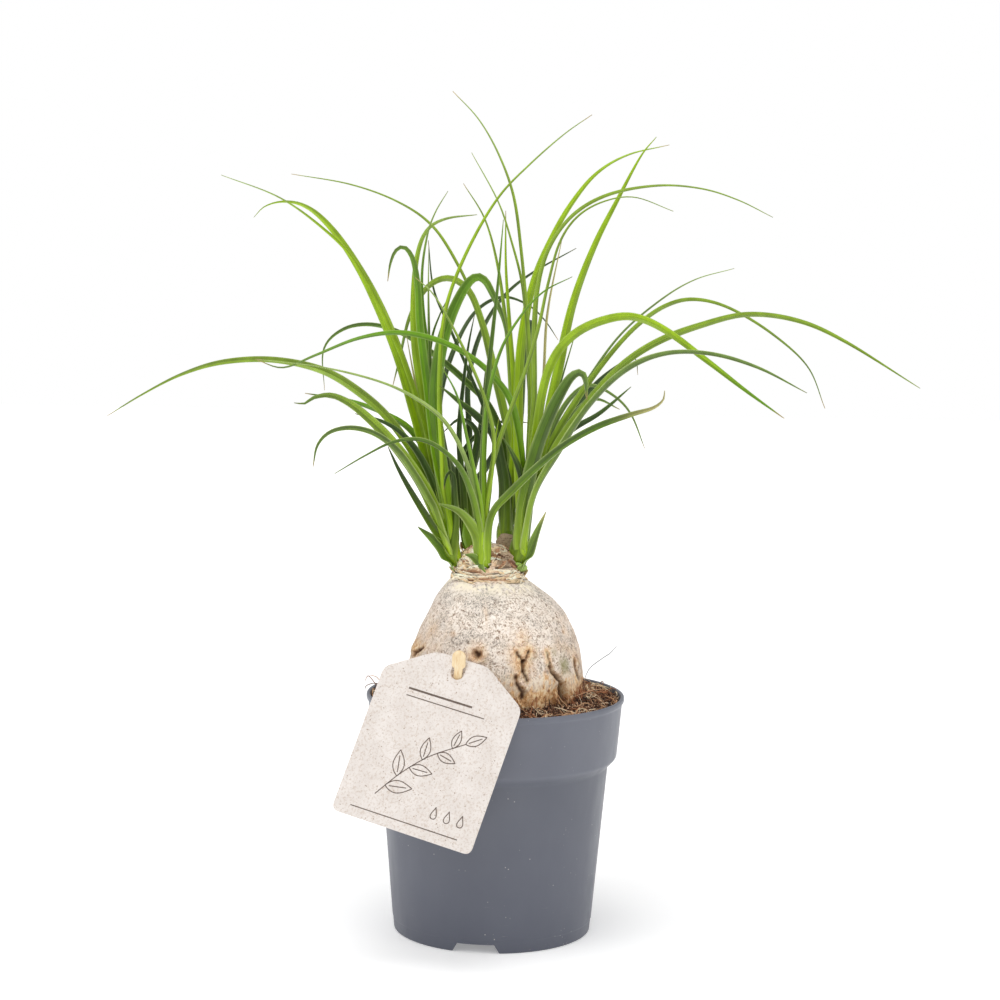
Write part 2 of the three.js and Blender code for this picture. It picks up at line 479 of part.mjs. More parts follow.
// The round stem under a shoot's leaves. With `grow` it is the socket that the bulb's neck leaves for it.
function makeStem(stem, grow = 0) {
  const places = [stem.foot, stem.collar, stem.throat];
  const [foot, collar, throat] = places.map(([right, up, depth]) => fromElevation([right, up], depth));
  const axis = new THREE.CatmullRomCurve3([foot, collar, throat], false, 'catmullrom', 0.5);
  if (grow > 0) foot.add(foot.clone().sub(collar).normalize().multiplyScalar(grow));
  const radii = STEM_FORM.map((share) => share * stem.radius + grow);
  const side = new THREE.Vector3(1, 0, 0);
  const rings = radii.map((radius, i) => {
    const share = i / (radii.length - 1);
    const middle = axis.getPoint(share);
    const along = axis.getTangent(share);
    side.addScaledVector(along, -side.dot(along)).normalize();
    const across = along.clone().cross(side);
    return Array.from({ length: STEM_SIDES }, (_, k) => {
      const turn = (2 * Math.PI * k) / STEM_SIDES;
      const point = middle.clone().addScaledVector(side, radius * Math.cos(turn));
      return point.addScaledVector(across, radius * Math.sin(turn));
    });
  });
  return solidFrom(ringForm(rings, fanCap(STEM_SIDES)));
}

function makeShoot(name) {
  const stem = STEMS[name];
  const blades = LEAVES[name].map((shape) => makeBlade(stem, shape));
  return mainBody(blades.reduce((shoot, blade) => shoot.add(blade), makeStem(stem)));
}

// ---------- label and stake ----------
function roundedOutline(corners, radius) {
  const shape = new THREE.Shape();
  corners.forEach(([x, y], i) => {
    const here = new THREE.Vector2(x, y);
    const before = new THREE.Vector2(...corners.at(i - 1)).sub(here).setLength(radius).add(here);
    const next = corners[(i + 1) % corners.length];
    const after = new THREE.Vector2(...next).sub(here).setLength(radius).add(here);
    if (i === 0) shape.moveTo(before.x, before.y);
    else shape.lineTo(before.x, before.y);
    shape.quadraticCurveTo(x, y, after.x, after.y);
  });
  return shape;
}

// The card lies in its own plane, with the middle of its hole at the origin.
function labelGeometry() {
  const { width, height, topWidth, chamfer, thick, corner, hole } = LABEL;
  const top = hole.below;
  const outline = roundedOutline([
    [-topWidth / 2, top], [-width / 2, top - chamfer], [-width / 2, top - height],
    [width / 2, top - height], [width / 2, top - chamfer], [topWidth / 2, top],
  ], corner);
  const slot = new THREE.Path();
  const straight = (hole.high - hole.wide) / 2;
  slot.absarc(0, straight, hole.wide / 2, 0, Math.PI, false);
  slot.absarc(0, -straight, hole.wide / 2, Math.PI, 2 * Math.PI, false);
  outline.holes.push(slot);
  return new THREE.ExtrudeGeometry(outline, { depth: thick, bevelEnabled: false, curveSegments: 6 });
}

function stakeGeometry(grow = 0) {
  const { head, neck, thick, top, neckTop, bottom, tip, pose } = STAKE;
  const shape = new THREE.Shape();
  const headRadius = head / 2;
  shape.moveTo(0, bottom - (grow * Math.hypot(tip, neck / 2)) / (neck / 2));
  shape.lineTo(neck / 2 + grow, bottom + tip);
  shape.lineTo(neck / 2 + grow, neckTop);
  shape.lineTo(headRadius + grow, neckTop + 1);
  shape.lineTo(headRadius + grow, top - headRadius);
  shape.absarc(0, top - headRadius, headRadius + grow, 0, Math.PI, false);
  shape.lineTo(-headRadius - grow, neckTop + 1);
  shape.lineTo(-neck / 2 - grow, neckTop);
  shape.lineTo(-neck / 2 - grow, bottom + tip);
  const depth = thick + 2 * grow;
  const blank = new THREE.ExtrudeGeometry(shape, { depth, bevelEnabled: false, curveSegments: 8 });
  const { x, y, z, turn } = LABEL.pose;
  blank.translate(0, -z, -depth / 2).rotateZ(-radians(pose.tilt)).rotateX(radians(90 + pose.lean));
  return blank.translate(0, -pose.ahead, 0).rotateZ(radians(turn)).translate(x, y, z);
}

// ---------- the plant ----------
function named(name, geometry, color, roughness) {
  const material = new THREE.MeshStandardMaterial({ color, roughness, metalness: 0 });
  const mesh = new THREE.Mesh(geometry, material);
  mesh.name = name;
  return mesh;
}

function build() {
  const plant = new THREE.Group();
  plant.add(named('pot', geometryFrom(makePot()), 0x6d7079, 0.55));

  const slit = solidFrom(stakeGeometry(GAP));
  const soil = makeSoil().subtract(makeBulb(GAP + 0.1)).subtract(slit);
  plant.add(named('soil', geometryFrom(mainBody(soil)), 0x3a2618, 0.95));

  const sockets = Object.values(STEMS).map((stem) => makeStem(stem, GAP));
  const bulb = sockets.reduce((body, socket) => body.subtract(socket), makeBulb());
  plant.add(named('caudex', geometryFrom(mainBody(bulb)), 0xb8a893, 0.85));

  const greens = {
    left: 0x6f9a2a, front: 0x5f8c3a, right: 0x739f2c, back_left: 0x2f5224, back_right: 0x557f2c,
  };
  for (const [name, green] of Object.entries(greens)) {
    plant.add(named(`shoot_${name}`, geometryFrom(makeShoot(name)), green, 0.5));
  }

  const { x, y, z, turn, lean, tilt } = LABEL.pose;
  const facing = new THREE.Group();
  facing.position.set(x, y, z);
  facing.rotation.z = radians(turn);
  const leaning = new THREE.Group();
  leaning.rotation.x = radians(90 - lean);
  const card = named('label_card', labelGeometry(), 0xded6d0, 0.9);
  card.rotation.z = -radians(tilt);
  leaning.add(card);
  facing.add(leaning);
  plant.add(facing);
  plant.add(named('label_stake', stakeGeometry(), 0xd8b784, 0.8));
  return plant;
}

export default build();
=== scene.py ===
"""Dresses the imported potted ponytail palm: fine pot, peat, bark, leaves and label, at their real size.

Lengths are millimetres until a mesh is made. Leaf courses and marks on the bulb are drawn on the front
elevation as (right, up), which is seen from a real eye point, and a depth runs to the back.
"""
import json
import math
import random

import bmesh
import bpy
import numpy as np
from mathutils import Matrix, Vector, noise

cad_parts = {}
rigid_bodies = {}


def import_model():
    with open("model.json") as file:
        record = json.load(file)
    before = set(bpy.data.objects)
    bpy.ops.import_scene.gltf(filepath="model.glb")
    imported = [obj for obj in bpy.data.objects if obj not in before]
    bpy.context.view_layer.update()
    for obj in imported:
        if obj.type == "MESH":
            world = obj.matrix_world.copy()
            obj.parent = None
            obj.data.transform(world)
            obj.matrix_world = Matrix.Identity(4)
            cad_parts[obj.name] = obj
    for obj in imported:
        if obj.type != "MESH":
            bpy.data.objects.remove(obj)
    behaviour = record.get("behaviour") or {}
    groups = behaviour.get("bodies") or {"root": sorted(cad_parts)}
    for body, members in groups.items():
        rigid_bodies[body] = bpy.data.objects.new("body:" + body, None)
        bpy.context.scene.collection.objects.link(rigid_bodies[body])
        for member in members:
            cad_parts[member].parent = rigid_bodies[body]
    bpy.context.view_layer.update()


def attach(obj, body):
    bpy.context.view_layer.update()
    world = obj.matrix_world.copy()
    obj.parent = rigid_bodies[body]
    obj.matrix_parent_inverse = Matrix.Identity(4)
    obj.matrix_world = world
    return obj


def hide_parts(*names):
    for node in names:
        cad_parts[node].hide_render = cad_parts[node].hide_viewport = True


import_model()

MM = 0.001
SHARP = 35  # degrees between faces, past which a small piece shows an edge
EYE = {"away": 1150, "high": 335}
CAMERA = {"down": 6.594, "roll": 0.966, "yaw": 0.03, "lens": 90.1, "sensor": 36}

POT = {"height": 111.4, "rim": 60, "foot": 46, "foot_wide": 2.4, "wall": 1.2,
       "floor_under": 4.4, "floor_top": 6, "shoulder": (53, 79), "band": (57, 83.2), "foot_line": 5.6}
LIP = {"wide": 1.7, "deep": 2.2, "proud": 0.9, "slope": 1.0}
NOTCH = {"count": 3, "wide": 23, "narrow": 17, "high": 4.2, "first": -9, "cut": (36, 50)}
DRAIN = {"count": 6, "radius": 3.5, "at": 33}
SOIL = {"front": 107.6, "back": 110.6, "bump": 0.55, "mound": 3.4, "mound_wide": 8, "gap": 0.35,
        "pocket": (107, 86, 83)}  # heights of the pocket round the bulb: its mouth, lowest ring and bottom

# The bulb's outline: (height, radius), from its round underside in the soil to the crown of its neck.
BULB_OUTLINE = [
    (84, 0), (85, 14), (89, 26), (96, 35), (104, 39.6), (112, 41), (120, 41.2), (128, 40.2), (136, 38.2),
    (144, 35), (151, 31.2), (157, 26.8), (162, 21.5), (166, 17.2), (170, 15.4), (174, 13.6), (178, 10.6),
    (181, 6), (182, 0),
]
NECK_SHIFT = {"x": -4.6, "from": 148, "to": 170}
# Furrows between the toes: (degrees round from the front to the right, upper end, depth). A furrow is a
# wide valley with a sharper crease in it, and both bend from side to side.
FURROWS = [
    (44, 128, 4), (17, 125, 1.6), (-14, 118, 2.6), (-52, 120, 3.4), (78, 122, 2.4), (112, 126, 3.6),
    (150, 120, 3), (188, 127, 3.8), (224, 121, 2.8), (262, 125, 3.6),
]
FURROW = {"bend": 2.2, "wave": 4.3, "crease": 2.2, "valley": 8.5}  # the widths are in degrees
BULB_WIDE = 41  # its radius where it is widest, for which a furrow's depth is given
# Heights on the bark between which a colour comes in or fades.
BARK = {"foot": (116, 126), "warm": (121, 133), "flanks": (140, 160), "toes": (133, 123),
        "toes_end": (121, 115.5), "neck": (164, 168), "pale_band": 163.8}

LABEL = {"width": 67.5, "height": 81.5, "top_width": 24.8, "chamfer": 13.5, "thick": 0.8, "corner": 3.5,
         "edge": 0.12}
LABEL_HOLE = {"wide": 6.4, "high": 9.6, "below": 4.9}
LABEL_POSE = {"x": -16.4, "y": -50.3, "z": 131.4, "turn": -15, "lean": 23.4, "tilt": 13.1}
STAKE = {"head": 6, "neck": 3.6, "thick": 1.6, "top": 140.5, "neck_top": 132.2, "bottom": 68, "tip": 9,
         "lean": 8, "tilt": 4, "ahead": 0.95, "edge": 0.25}

# Each shoot's stem: foot, collar and throat as (right, up, depth), and its radius at the collar.
STEMS = {
    "left": {"foot": (-13.5, 162, -2), "collar": (-20.5, 177, -3), "throat": (-24.5, 196, -3), "radius": 4.4},
    "front": {"foot": (-5, 161, -9), "collar": (-6.2, 174, -12.5), "throat": (-6.8, 192, -14), "radius": 3.5},
    "right": {"foot": (6.5, 162, -1), "collar": (9.8, 177, -2), "throat": (12.2, 196, -2), "radius": 4.7},
    "back_left": {"foot": (-9, 165, 7.5), "collar": (-13.6, 182, 9.5), "throat": (-15.5, 198, 11),
                  "radius": 3.8},
    "back_right": {"foot": (1.6, 166, 8), "collar": (3.6, 184, 9.5), "throat": (4.8, 200, 10.5),
                   "radius": 3.9},
}

LEAF_SLOTS = {"left": "leaf_bright", "front": "leaf_grey_green", "right": "leaf_bright",
              "back_left": "leaf_dark", "back_right": "leaf_dark"}

# Leaf tones, as seen on a screen.
TONES = {
    "bright": (0.53, 0.66, 0.09), "olive": (0.46, 0.57, 0.17), "green": (0.36, 0.53, 0.08),
    "light": (0.55, 0.65, 0.36), "grey": (0.36, 0.46, 0.21), "deep": (0.28, 0.40, 0.09),
    "dark": (0.18, 0.27, 0.10), "dry": (0.66, 0.63, 0.44),
}
# How far a leaf's base turns yellow-green, and over what length.
YELLOWING = {"bright": (0.95, 46), "olive": (0.9, 42), "green": (0.85, 38), "light": (0.8, 36),
             "deep": (0.72, 32), "grey": (0.8, 34), "dark": (0.5, 24), "dry": (0.4, 30)}
BASE_TONE = (0.60, 0.73, 0.10)
MARGIN_TONE = (0.76, 0.83, 0.58)
PALE_EDGE = {"bright": 0.3, "grey": 0.85, "light": 0.8, "deep": 0.55}  # how clearly a leaf's edge shows
TIP_TONE = (0.63, 0.53, 0.38)
STEM_TONE = (0.42, 0.56, 0.12)


def leaf(tone, wide, reach, *course, taper=1.5, shown=0.6, low=None):
    """A leaf: its tone and its tip's, greatest width, the depth its tip reaches, and its course.

    A greater taper keeps the width for longer, and `shown` is how far the blade turns its face to the front.
    A bract has a low end of its own, (right, up, depth), instead of starting inside the stem.
    """
    fresh, _, tip = tone.partition("/")
    return {"fresh": fresh, "tip": tip or fresh, "wide": wide, "reach": reach, "course": course,
            "taper": taper, "shown": shown, "low": low}


LEAVES = {
    "left": [
        leaf("olive", 5.4, 38, (-29, 197), (-38, 219), (-50, 237), (-64, 250), (-82, 260.5), (-105, 265),
             (-128, 263.5), (-147, 257.5), (-165, 248), (-181, 238), taper=1.7),
        leaf("bright", 8.8, 46, (-27, 195), (-33, 218), (-38.5, 240), (-48, 270), (-60, 297), (-72, 317),
             (-83, 330), (-92, 336), (-101, 337.3), (-109, 335), (-114, 330)),
        leaf("bright/light", 4.2, 12, (-26, 202), (-33, 230), (-42, 258), (-53.5, 285), (-68, 311),
             (-83, 326), (-103, 339.5), (-129, 349), taper=1),
        leaf("green/grey", 5, -8, (-25, 200), (-30, 225), (-34, 255), (-37.5, 282), (-38.8, 300),
             (-41, 312), (-45, 317.6), (-49, 316), (-51.4, 310), (-52.5, 302), taper=3, shown=0.8),
        leaf("bright/light", 7.2, 35, (-27, 205), (-34, 238), (-39.5, 270), (-40.7, 296), (-39, 315),
             (-34.5, 326), (-26, 331), (-12, 333), taper=1.3),
        leaf("green/light", 4.6, 8, (-24, 205), (-29, 235), (-34.5, 272), (-37, 302), (-35, 322),
             (-31.3, 333.5), (-25.5, 343.5), taper=1.1),
        leaf("grey/light", 3, -3, (-24.5, 205), (-29, 232), (-32.5, 262), (-33.8, 292), (-34, 320)),
        leaf("green/grey", 7.8, -12, (-24.5, 205), (-28.5, 228), (-30, 250), (-28, 270), (-23.5, 286),
             (-17.5, 299), (-12.5, 304.4), (-8, 303), (-4, 296), (0.5, 286), (3, 274), taper=2.6, shown=0.75),
        leaf("olive/grey", 6.8, -32, (-27.5, 190), (-33, 204), (-41, 217), (-51, 229.5), (-60, 238.5),
             (-69, 245.5), (-78, 249.3), (-86, 248), (-90, 245.3), (-95, 245.5), taper=2.2, shown=0.85),
        leaf("green/deep", 4, 27, (-27, 205), (-33, 222), (-42, 234.5), (-54, 241.5), (-70, 247), (-90, 250),
             taper=2.2, shown=0.8),
        leaf("dark", 4.4, 3, (-28, 202), (-35, 219), (-44, 231), (-54, 237.5), (-67, 241),
             taper=2.2, shown=0.8),
        leaf("grey", 3.8, -62, (-29.5, 196), (-32.5, 202), (-39, 213), (-47, 224), (-57, 231.5), (-68, 234.3),
             (-78, 232.3), (-84, 226), (-86, 216), taper=2.6, shown=0.7),
        leaf("dark", 4.2, -16, (-25, 182), (-31, 190), (-39, 202.5), (-46.5, 215.5), (-51.5, 226),
             taper=2, shown=0.8),
        leaf("deep", 7.6, -7, (-24.5, 177.5), (-30, 183.2), (-37.3, 189), shown=0.9,
             low=(-20.2, 168.4, -8.5)),
        leaf("bright/light", 3.4, -32, (-24.5, 200), (-26.5, 225), (-28, 250), (-27.3, 278), (-23.5, 298),
             (-14, 321), (-2, 341.5), (12, 356.5), (27, 370), (39.5, 379), taper=1),
        leaf("deep", 3.8, 12, (-24, 200), (-29, 228), (-33, 258), (-32, 276), (-28.5, 287), (-25, 294.5)),
        leaf("dark", 3.8, 103, (-24, 205), (-28, 232), (-27, 252), (-22, 270), (-14.5, 285.5), (-6, 293.5),
             (3, 295.5), (13, 291.5), (20, 285), (26, 276.5)),
        leaf("dry", 2.4, 14, (-26, 205), (-33, 230), (-39, 254), (-43.5, 277)),
        leaf("dark", 4.6, -10, (-20.3, 192), (-20.6, 203), (-21, 212), (-22.6, 215), (-24.6, 212),
             (-25.4, 206.5), taper=2.2),
        leaf("dark", 6.5, 119, (-23, 205), (-29, 238), (-35, 275), (-38, 295), (-38.5, 285), (-37.5, 262)),
    ],
    "front": [
        leaf("deep/grey", 4, -78, (-9, 187), (-12, 202), (-18, 216), (-27, 225), (-37, 229.3), (-49, 228),
             (-62, 221.5), (-76, 213)),
        leaf("light", 2.7, -86, (-8.5, 192), (-12, 209), (-18, 226), (-27, 239.5), (-41, 249.5), (-58, 256.5),
             (-84, 262.3), (-113, 265.3), taper=1.3),
        leaf("green", 2.8, -51, (-8, 196), (-11.5, 214), (-15.5, 232), (-20, 250), (-27, 263)),
        leaf("deep/green", 4.2, -30, (-7, 195), (-7.6, 218), (-6.8, 240), (-6, 258), (-4, 280), (-2, 302),
             (0, 331), taper=1.2),
        leaf("olive", 3, -62, (-5.5, 195), (-4, 212), (-0.5, 228), (6, 247), (12, 264), (17, 282),
             (21, 302), (26, 321), (34, 333), (46, 340), (60, 342), (77.5, 336), taper=1),
        leaf("green", 2.8, -49, (-6.5, 200), (-7, 228), (-5.5, 250), (0, 271.5), (9, 287.5), (19, 298.5),
             (32, 305.5)),
        leaf("deep/dry", 3.8, -84, (-4, 189), (-1.5, 197.5), (5, 205), (17, 217), (30, 228), (45, 236.8),
             (60, 242.5), (70, 245.7), (74.8, 249.5), (75.5, 254), taper=4, shown=0.8),
        leaf("grey", 7, -30, (-8.5, 182.5), (-12.5, 190), (-18.5, 196.5), (-28, 200), taper=1.8, shown=0.9),
        leaf("grey", 5.4, -20, (-8.8, 172.6), (-11.4, 175.3), (-15.2, 176.4), shown=0.9,
             low=(-5.6, 168.2, -17)),
        leaf("olive/light", 2.6, -49, (-6, 198), (-3.5, 216), (-3, 232), (-7, 248), (-14, 265), (-24, 284.5),
             (-32, 297), (-40, 304)),
        leaf("bright", 4.0, -14.5, (-5.5, 192), (-4, 208), (-2.6, 224), (-0.5, 240)),
    ],
    "right": [
        leaf("olive/light", 4.6, 8, (12.3, 197), (13.2, 222), (13.6, 248), (12.6, 270), (10.8, 292),
             (8.3, 316), (4.5, 341), (-2.5, 360), (-12, 376), (-24, 388.5), taper=0.9),
        leaf("olive/light", 3.2, 32, (12.3, 200), (13.6, 226), (13.4, 252), (11.8, 277), (9.2, 301),
             (4.2, 320), (-2.5, 339), (-15, 361), taper=0.9),
        leaf("bright", 6.8, 20, (11.2, 196), (9.6, 220), (8.6, 244), (8.9, 266), (11, 286), (15.5, 306),
             (22.5, 323), (31, 338.5), (42, 352.3), (56, 361), (75, 366), taper=1.3),
        leaf("olive", 4.6, -43, (12.8, 200), (14.6, 228), (16, 254), (15.4, 278), (16.5, 300), (21.5, 318.5),
             (32, 333.5), (48, 343), (70, 347.4), (90, 346.4), (107, 341.5), (123, 334), taper=1.1),
        leaf("bright", 6.8, 12, (13, 193), (17, 212), (21.5, 236), (26.5, 263), (32.5, 293), (41.5, 319),
             (52, 341), (62, 360.5), (69, 369.5), taper=1.4, shown=0.8),
        leaf("bright/green", 4.9, -62, (12.6, 199), (16, 224), (19.5, 252), (24.5, 268), (33.5, 279),
             (46, 285.5), (60, 287.6), (75, 281.8), (95, 267.8), (113, 254.5), (131, 242),
             taper=2.8, shown=0.85),
        leaf("olive/grey", 4.8, 46, (15.5, 205), (24, 229), (36, 250), (49, 268.5), (62, 283.3), (75, 292.8),
             (88, 296), (104, 292.4), (124, 281), (141, 266), (149.5, 247), taper=0.9, shown=0.8),
        leaf("grey/light", 2, 73, (15, 206), (24, 231), (38, 255), (54, 278.5), (72, 295), (88, 305),
             (106, 310.5)),
        leaf("olive", 5.2, -36, (16, 203), (25, 224.5), (38, 244.5), (54, 263.4), (71, 275.7), (92, 284.3),
             (113, 289.5), (136, 287), (158, 277.8), (193, 257), shown=0.7),
        leaf("grey", 4, -119, (16.5, 204), (27, 224.5), (41, 246.5), (57, 262.8), (75, 270.8), (96, 271.2),
             (118, 265.3), (141, 254), taper=2, shown=0.7),
        leaf("dark/deep", 4.6, 30, (13.5, 200), (20, 217.5), (31, 233.3), (46, 243.2), (60, 255.5),
             taper=2.2, shown=0.8),
        leaf("grey", 3.6, 59, (14.3, 204), (21, 227), (30, 246.5), (40, 255.6), (51, 251.8), (60, 243),
             (67, 227), taper=2),
        leaf("grey", 3.6, 43, (14.3, 203), (24, 227), (34.5, 243.5), (44, 249.5), (55, 245),
             taper=2.6, shown=0.8),
        leaf("deep/grey", 7.6, -35, (12.2, 200), (17, 224), (23.5, 243), (30.5, 257), (35.6, 261.6),
             (38.8, 259), (39.8, 249), taper=3.5, shown=0.8),
        leaf("grey/dry", 5.4, -8, (15, 179), (18, 187.5), (22, 197), shown=0.8, low=(11.4, 169, -8)),
        leaf("green/grey", 4.3, -40, (10.4, 197), (10.2, 220), (5.5, 245), (-3, 258.3), (-16, 269),
             (-31, 275.7), (-48, 278.4), (-66, 275.4), (-85, 267.6), (-100, 261.6), (-112, 264.8), taper=2),
        leaf("dark/grey", 7.4, -12, (11.6, 188), (12.4, 200), (10.4, 213), (5.8, 224), (0.8, 232), shown=0.9),
        leaf("dry", 2.4, 10, (13.6, 204), (17.5, 232), (19.8, 260), (21, 289), (27, 323)),
        leaf("grey", 2.6, -8, (14.4, 205), (21.5, 233), (28, 258), (34, 280)),
        leaf("dark", 6.5, 119, (13.5, 203), (15, 232), (14.5, 262), (13.5, 285), (13.8, 275), (14.5, 255)),
    ],
    "back_left": [
        leaf("dark", 3.8, 16, (-16.5, 205), (-18.8, 232), (-17.2, 256), (-15.2, 273), (-12.5, 287.5)),
        leaf("dark", 3.6, 89, (-15, 205), (-14, 230), (-15.2, 253), (-12.5, 270), (-7.5, 283.5), (1, 296.3),
             (13, 306.5), (33.5, 318.5)),
        leaf("dark", 5, 32, (-14.5, 205), (-11.5, 222), (-10.4, 232), (-14, 237.6), (-19.5, 238.8),
             (-26, 233), taper=2.2),
        leaf("dark", 4.2, 36, (-17.5, 204), (-18.7, 218), (-13.5, 229), (-4, 236.5), (4, 238.8),
             (13.5, 238)),
        leaf("dark", 4.6, 108, (-14.5, 205), (-10, 226), (-7.5, 246), (-6.3, 262), (-6, 254), (-6.6, 238)),
        leaf("dark", 5, 105, (-13, 204), (-6, 217), (0, 227), (6, 233), (10, 229), (12, 217)),
        leaf("dark", 6.5, 119, (-17, 204), (-26, 222), (-36, 241), (-44, 258), (-49.5, 270), (-46, 262)),
    ],
    "back_right": [
        leaf("olive/grey", 5.4, 35, (4.6, 206), (4.4, 228), (0.5, 246), (-4.6, 266), (-9.5, 284),
             (-15.5, 298), (-24.5, 303.6), (-34, 299.5), (-42, 286), (-46.5, 267), (-49.6, 254), taper=2.2),
        leaf("olive", 3.2, 70, (4.4, 207), (4.2, 230), (-0.5, 252), (-6, 273), (-12, 291.5), (-20, 309),
             (-32, 327), (-48, 338), (-70, 345.7), (-97, 350), taper=1),
        leaf("deep/grey", 4.2, 59, (4, 205), (1.5, 228), (-5, 244.8), (-15, 255.5), (-29, 267.3),
             (-45, 277.8), (-60, 282), (-73, 279.4), (-81.5, 270), (-81, 251.5), taper=2),
        leaf("dark/deep", 6.2, -13, (2.4, 206), (0.2, 220), (-3, 232.5), (-11, 241), (-19.5, 247.8),
             (-28, 254.5), taper=2.6, shown=0.85),
        leaf("bright", 4.4, 14, (5.4, 207), (6.8, 232), (6, 257), (3.6, 284), (1.5, 310), (1, 335),
             taper=1.1),
        leaf("olive", 4, 54, (5, 207), (5.8, 232), (4.4, 258), (1.8, 284), (-2.3, 310), (-8.5, 331),
             (-18.5, 347), taper=1),
        leaf("dark", 2.8, 35, (4, 206), (0.5, 224), (-7, 243), (-15, 261.5), (-24, 281.5), (-31.5, 299),
             (-34.2, 321)),
        leaf("light", 6.4, 7, (3.2, 198), (2.4, 209), (1, 218), (0, 225)),
        leaf("dark", 5, 7, (4.6, 199), (5, 209), (3.8, 216.5), (1.5, 223.5)),
        leaf("dark", 6.5, 111, (5.6, 206), (8.5, 235), (10, 262), (11, 278), (12, 268), (13, 248)),
        leaf("dark", 6, 113, (5.8, 205), (14, 217), (25, 233), (38, 250), (50, 262), (61, 268.5), (63, 261)),
    ],
}


# ---------- shared tools ----------
def linear(color):
    """A colour as seen on a screen, in the light values that a shader takes."""
    return np.array([((c + 0.055) / 1.055) ** 2.4 if c > 0.04045 else c / 12.92 for c in color])


def smooth(low, high, value):
    """A soft step from 0 at `low` to 1 at `high`."""
    part = np.clip((value - low) / (high - low), 0, 1)
    return part * part * (3 - 2 * part)


def bell(value):
    """1 where the value is nought, and falling away on both sides."""
    return np.exp(-(value**2))


def blend(first, second, amount):
    """A mix of two values, which is all the second where the amount is 1."""
    return first * (1 - amount) + second * amount


def unit(rows):
    """Each row as a direction of length 1."""
    return rows / np.maximum(np.linalg.norm(rows, axis=1), 1e-9)[:, None]


def squared(side, ahead):
    """The direction nearest to `side` that is square to the direction `ahead`."""
    side = side - side.dot(ahead) * ahead
    return side / np.linalg.norm(side)


def from_elevation(right, up, depth):
    """The point in space that stands at (right, up) on the front elevation, at a depth."""
    spread = 1 + depth / EYE["away"]
    return np.array([right * spread, depth, EYE["high"] + (up - EYE["high"]) * spread])


def from_axis(angle, radius):
    """Right and depth at a radius, at degrees round from the front to the right."""
    turn = np.radians(angle)
    return radius * np.sin(turn), -radius * np.cos(turn)


def curve_through(points, samples):
    """A smooth curve through the points, in even steps between them."""
    points = np.asarray(points, float)
    padded = np.vstack([2 * points[0] - points[1], points, 2 * points[-1] - points[-2]])
    place = np.linspace(0, len(points) - 1, samples)
    index = np.minimum(place.astype(int), len(points) - 2)
    part = (place - index)[:, None]
    before, start, end, after = (padded[index + k] for k in range(4))
    return ((2 * part**3 - 3 * part**2 + 1) * start + (part**3 - 2 * part**2 + part) * (end - before) / 2
            + (3 * part**2 - 2 * part**3) * end + (part**3 - part**2) * (after - start) / 2)


def even_steps(points, count):
    """The same line in `count` rows of equal length, and its whole length."""
    run = np.concatenate([[0], np.cumsum(np.linalg.norm(np.diff(points, axis=0), axis=1))])
    goal = np.linspace(0, run[-1], count)
    return np.column_stack([np.interp(goal, run, points[:, k]) for k in range(3)]), run[-1]


def ring_faces(rows, count, first=0):
    """Quads between closed rings of `count` points, and a cap on each end."""
    faces = []
    for row in range(rows - 1):
        base = first + row * count
        for i in range(count):
            j = (i + 1) % count
            faces.append((base + i, base + j, base + count + j, base + count + i))
    last = first + (rows - 1) * count
    faces.append(tuple(first + i for i in reversed(range(count))))
    faces.append(tuple(last + i for i in range(count)))
    return faces


def lathe_faces(rows, count):
    """Quads between rings of `count` points, with a pole point under the first and over the last ring."""
    faces = ring_faces(rows, count)[:-2]
    low, high = rows * count, rows * count + 1
    last = (rows - 1) * count
    for i in range(count):
        j = (i + 1) % count
        faces.append((low, j, i))
        faces.append((high, last + i, last + j))
    return faces


def in_scene(name, data):
    """A new object that shows the data."""
    made = bpy.data.objects.new(name, data)
    bpy.context.scene.collection.objects.link(made)
    return made


def make_piece(name, points, faces, material, sharp_degrees=None):
    """A mesh object from points in millimetres, with outward faces and smooth shading."""
    mesh = bpy.data.meshes.new(name)
    mesh.from_pydata((np.asarray(points, float) * MM).tolist(), [], faces)
    mesh.materials.append(material)
    turn_outwards(mesh)
    shade(mesh, sharp_degrees)
    return in_scene(name, mesh)


def turn_outwards(mesh, merged=0.0):
    """Points the faces outwards, after merging doubles nearer than `merged` millimetres."""
    work = bmesh.new()
    work.from_mesh(mesh)
    if merged:
        bmesh.ops.remove_doubles(work, verts=work.verts, dist=merged * MM)
    bmesh.ops.recalc_face_normals(work, faces=work.faces)
    work.to_mesh(mesh)
    work.free()


def shade(mesh, sharp_degrees):
    mesh.shade_smooth()
    if sharp_degrees is not None:
        mesh.set_sharp_from_angle(angle=math.radians(sharp_degrees))


def plain_mesh(piece):
    """A mesh of the piece as its modifiers leave it."""
    view = bpy.context.evaluated_depsgraph_get()
    return bpy.data.meshes.new_from_object(piece.evaluated_get(view))


def baked(piece):
    """The piece with its modifiers applied to a plain mesh."""
    mesh = plain_mesh(piece)
    piece.modifiers.clear()
    piece.data = mesh
    return piece


def cut_solid(name, points, sides):
    """A solid over rings of points, to be cut out of a piece."""
    material = bpy.data.materials.get("cut") or bpy.data.materials.new("cut")
    return make_piece(name, points, ring_faces(len(points) // sides, sides), material)


def carve(piece, cutters):
    """Cuts the cutters out of the piece and removes them."""
    for cutter in cutters:
        cut = piece.modifiers.new("cut", "BOOLEAN")
        cut.operation = "DIFFERENCE"
        cut.solver = "EXACT"
        cut.object = cutter
    baked(piece)
    for cutter in cutters:
        bpy.data.objects.remove(cutter)


def grain(points, size, seed):
    """Smooth random values from -1 to 1 at points in millimetres, with lumps of about `size`."""
    shifted = np.asarray(points) / size + 17.3 * seed
    return np.array([noise.noise(Vector(p)) for p in shifted.tolist()])


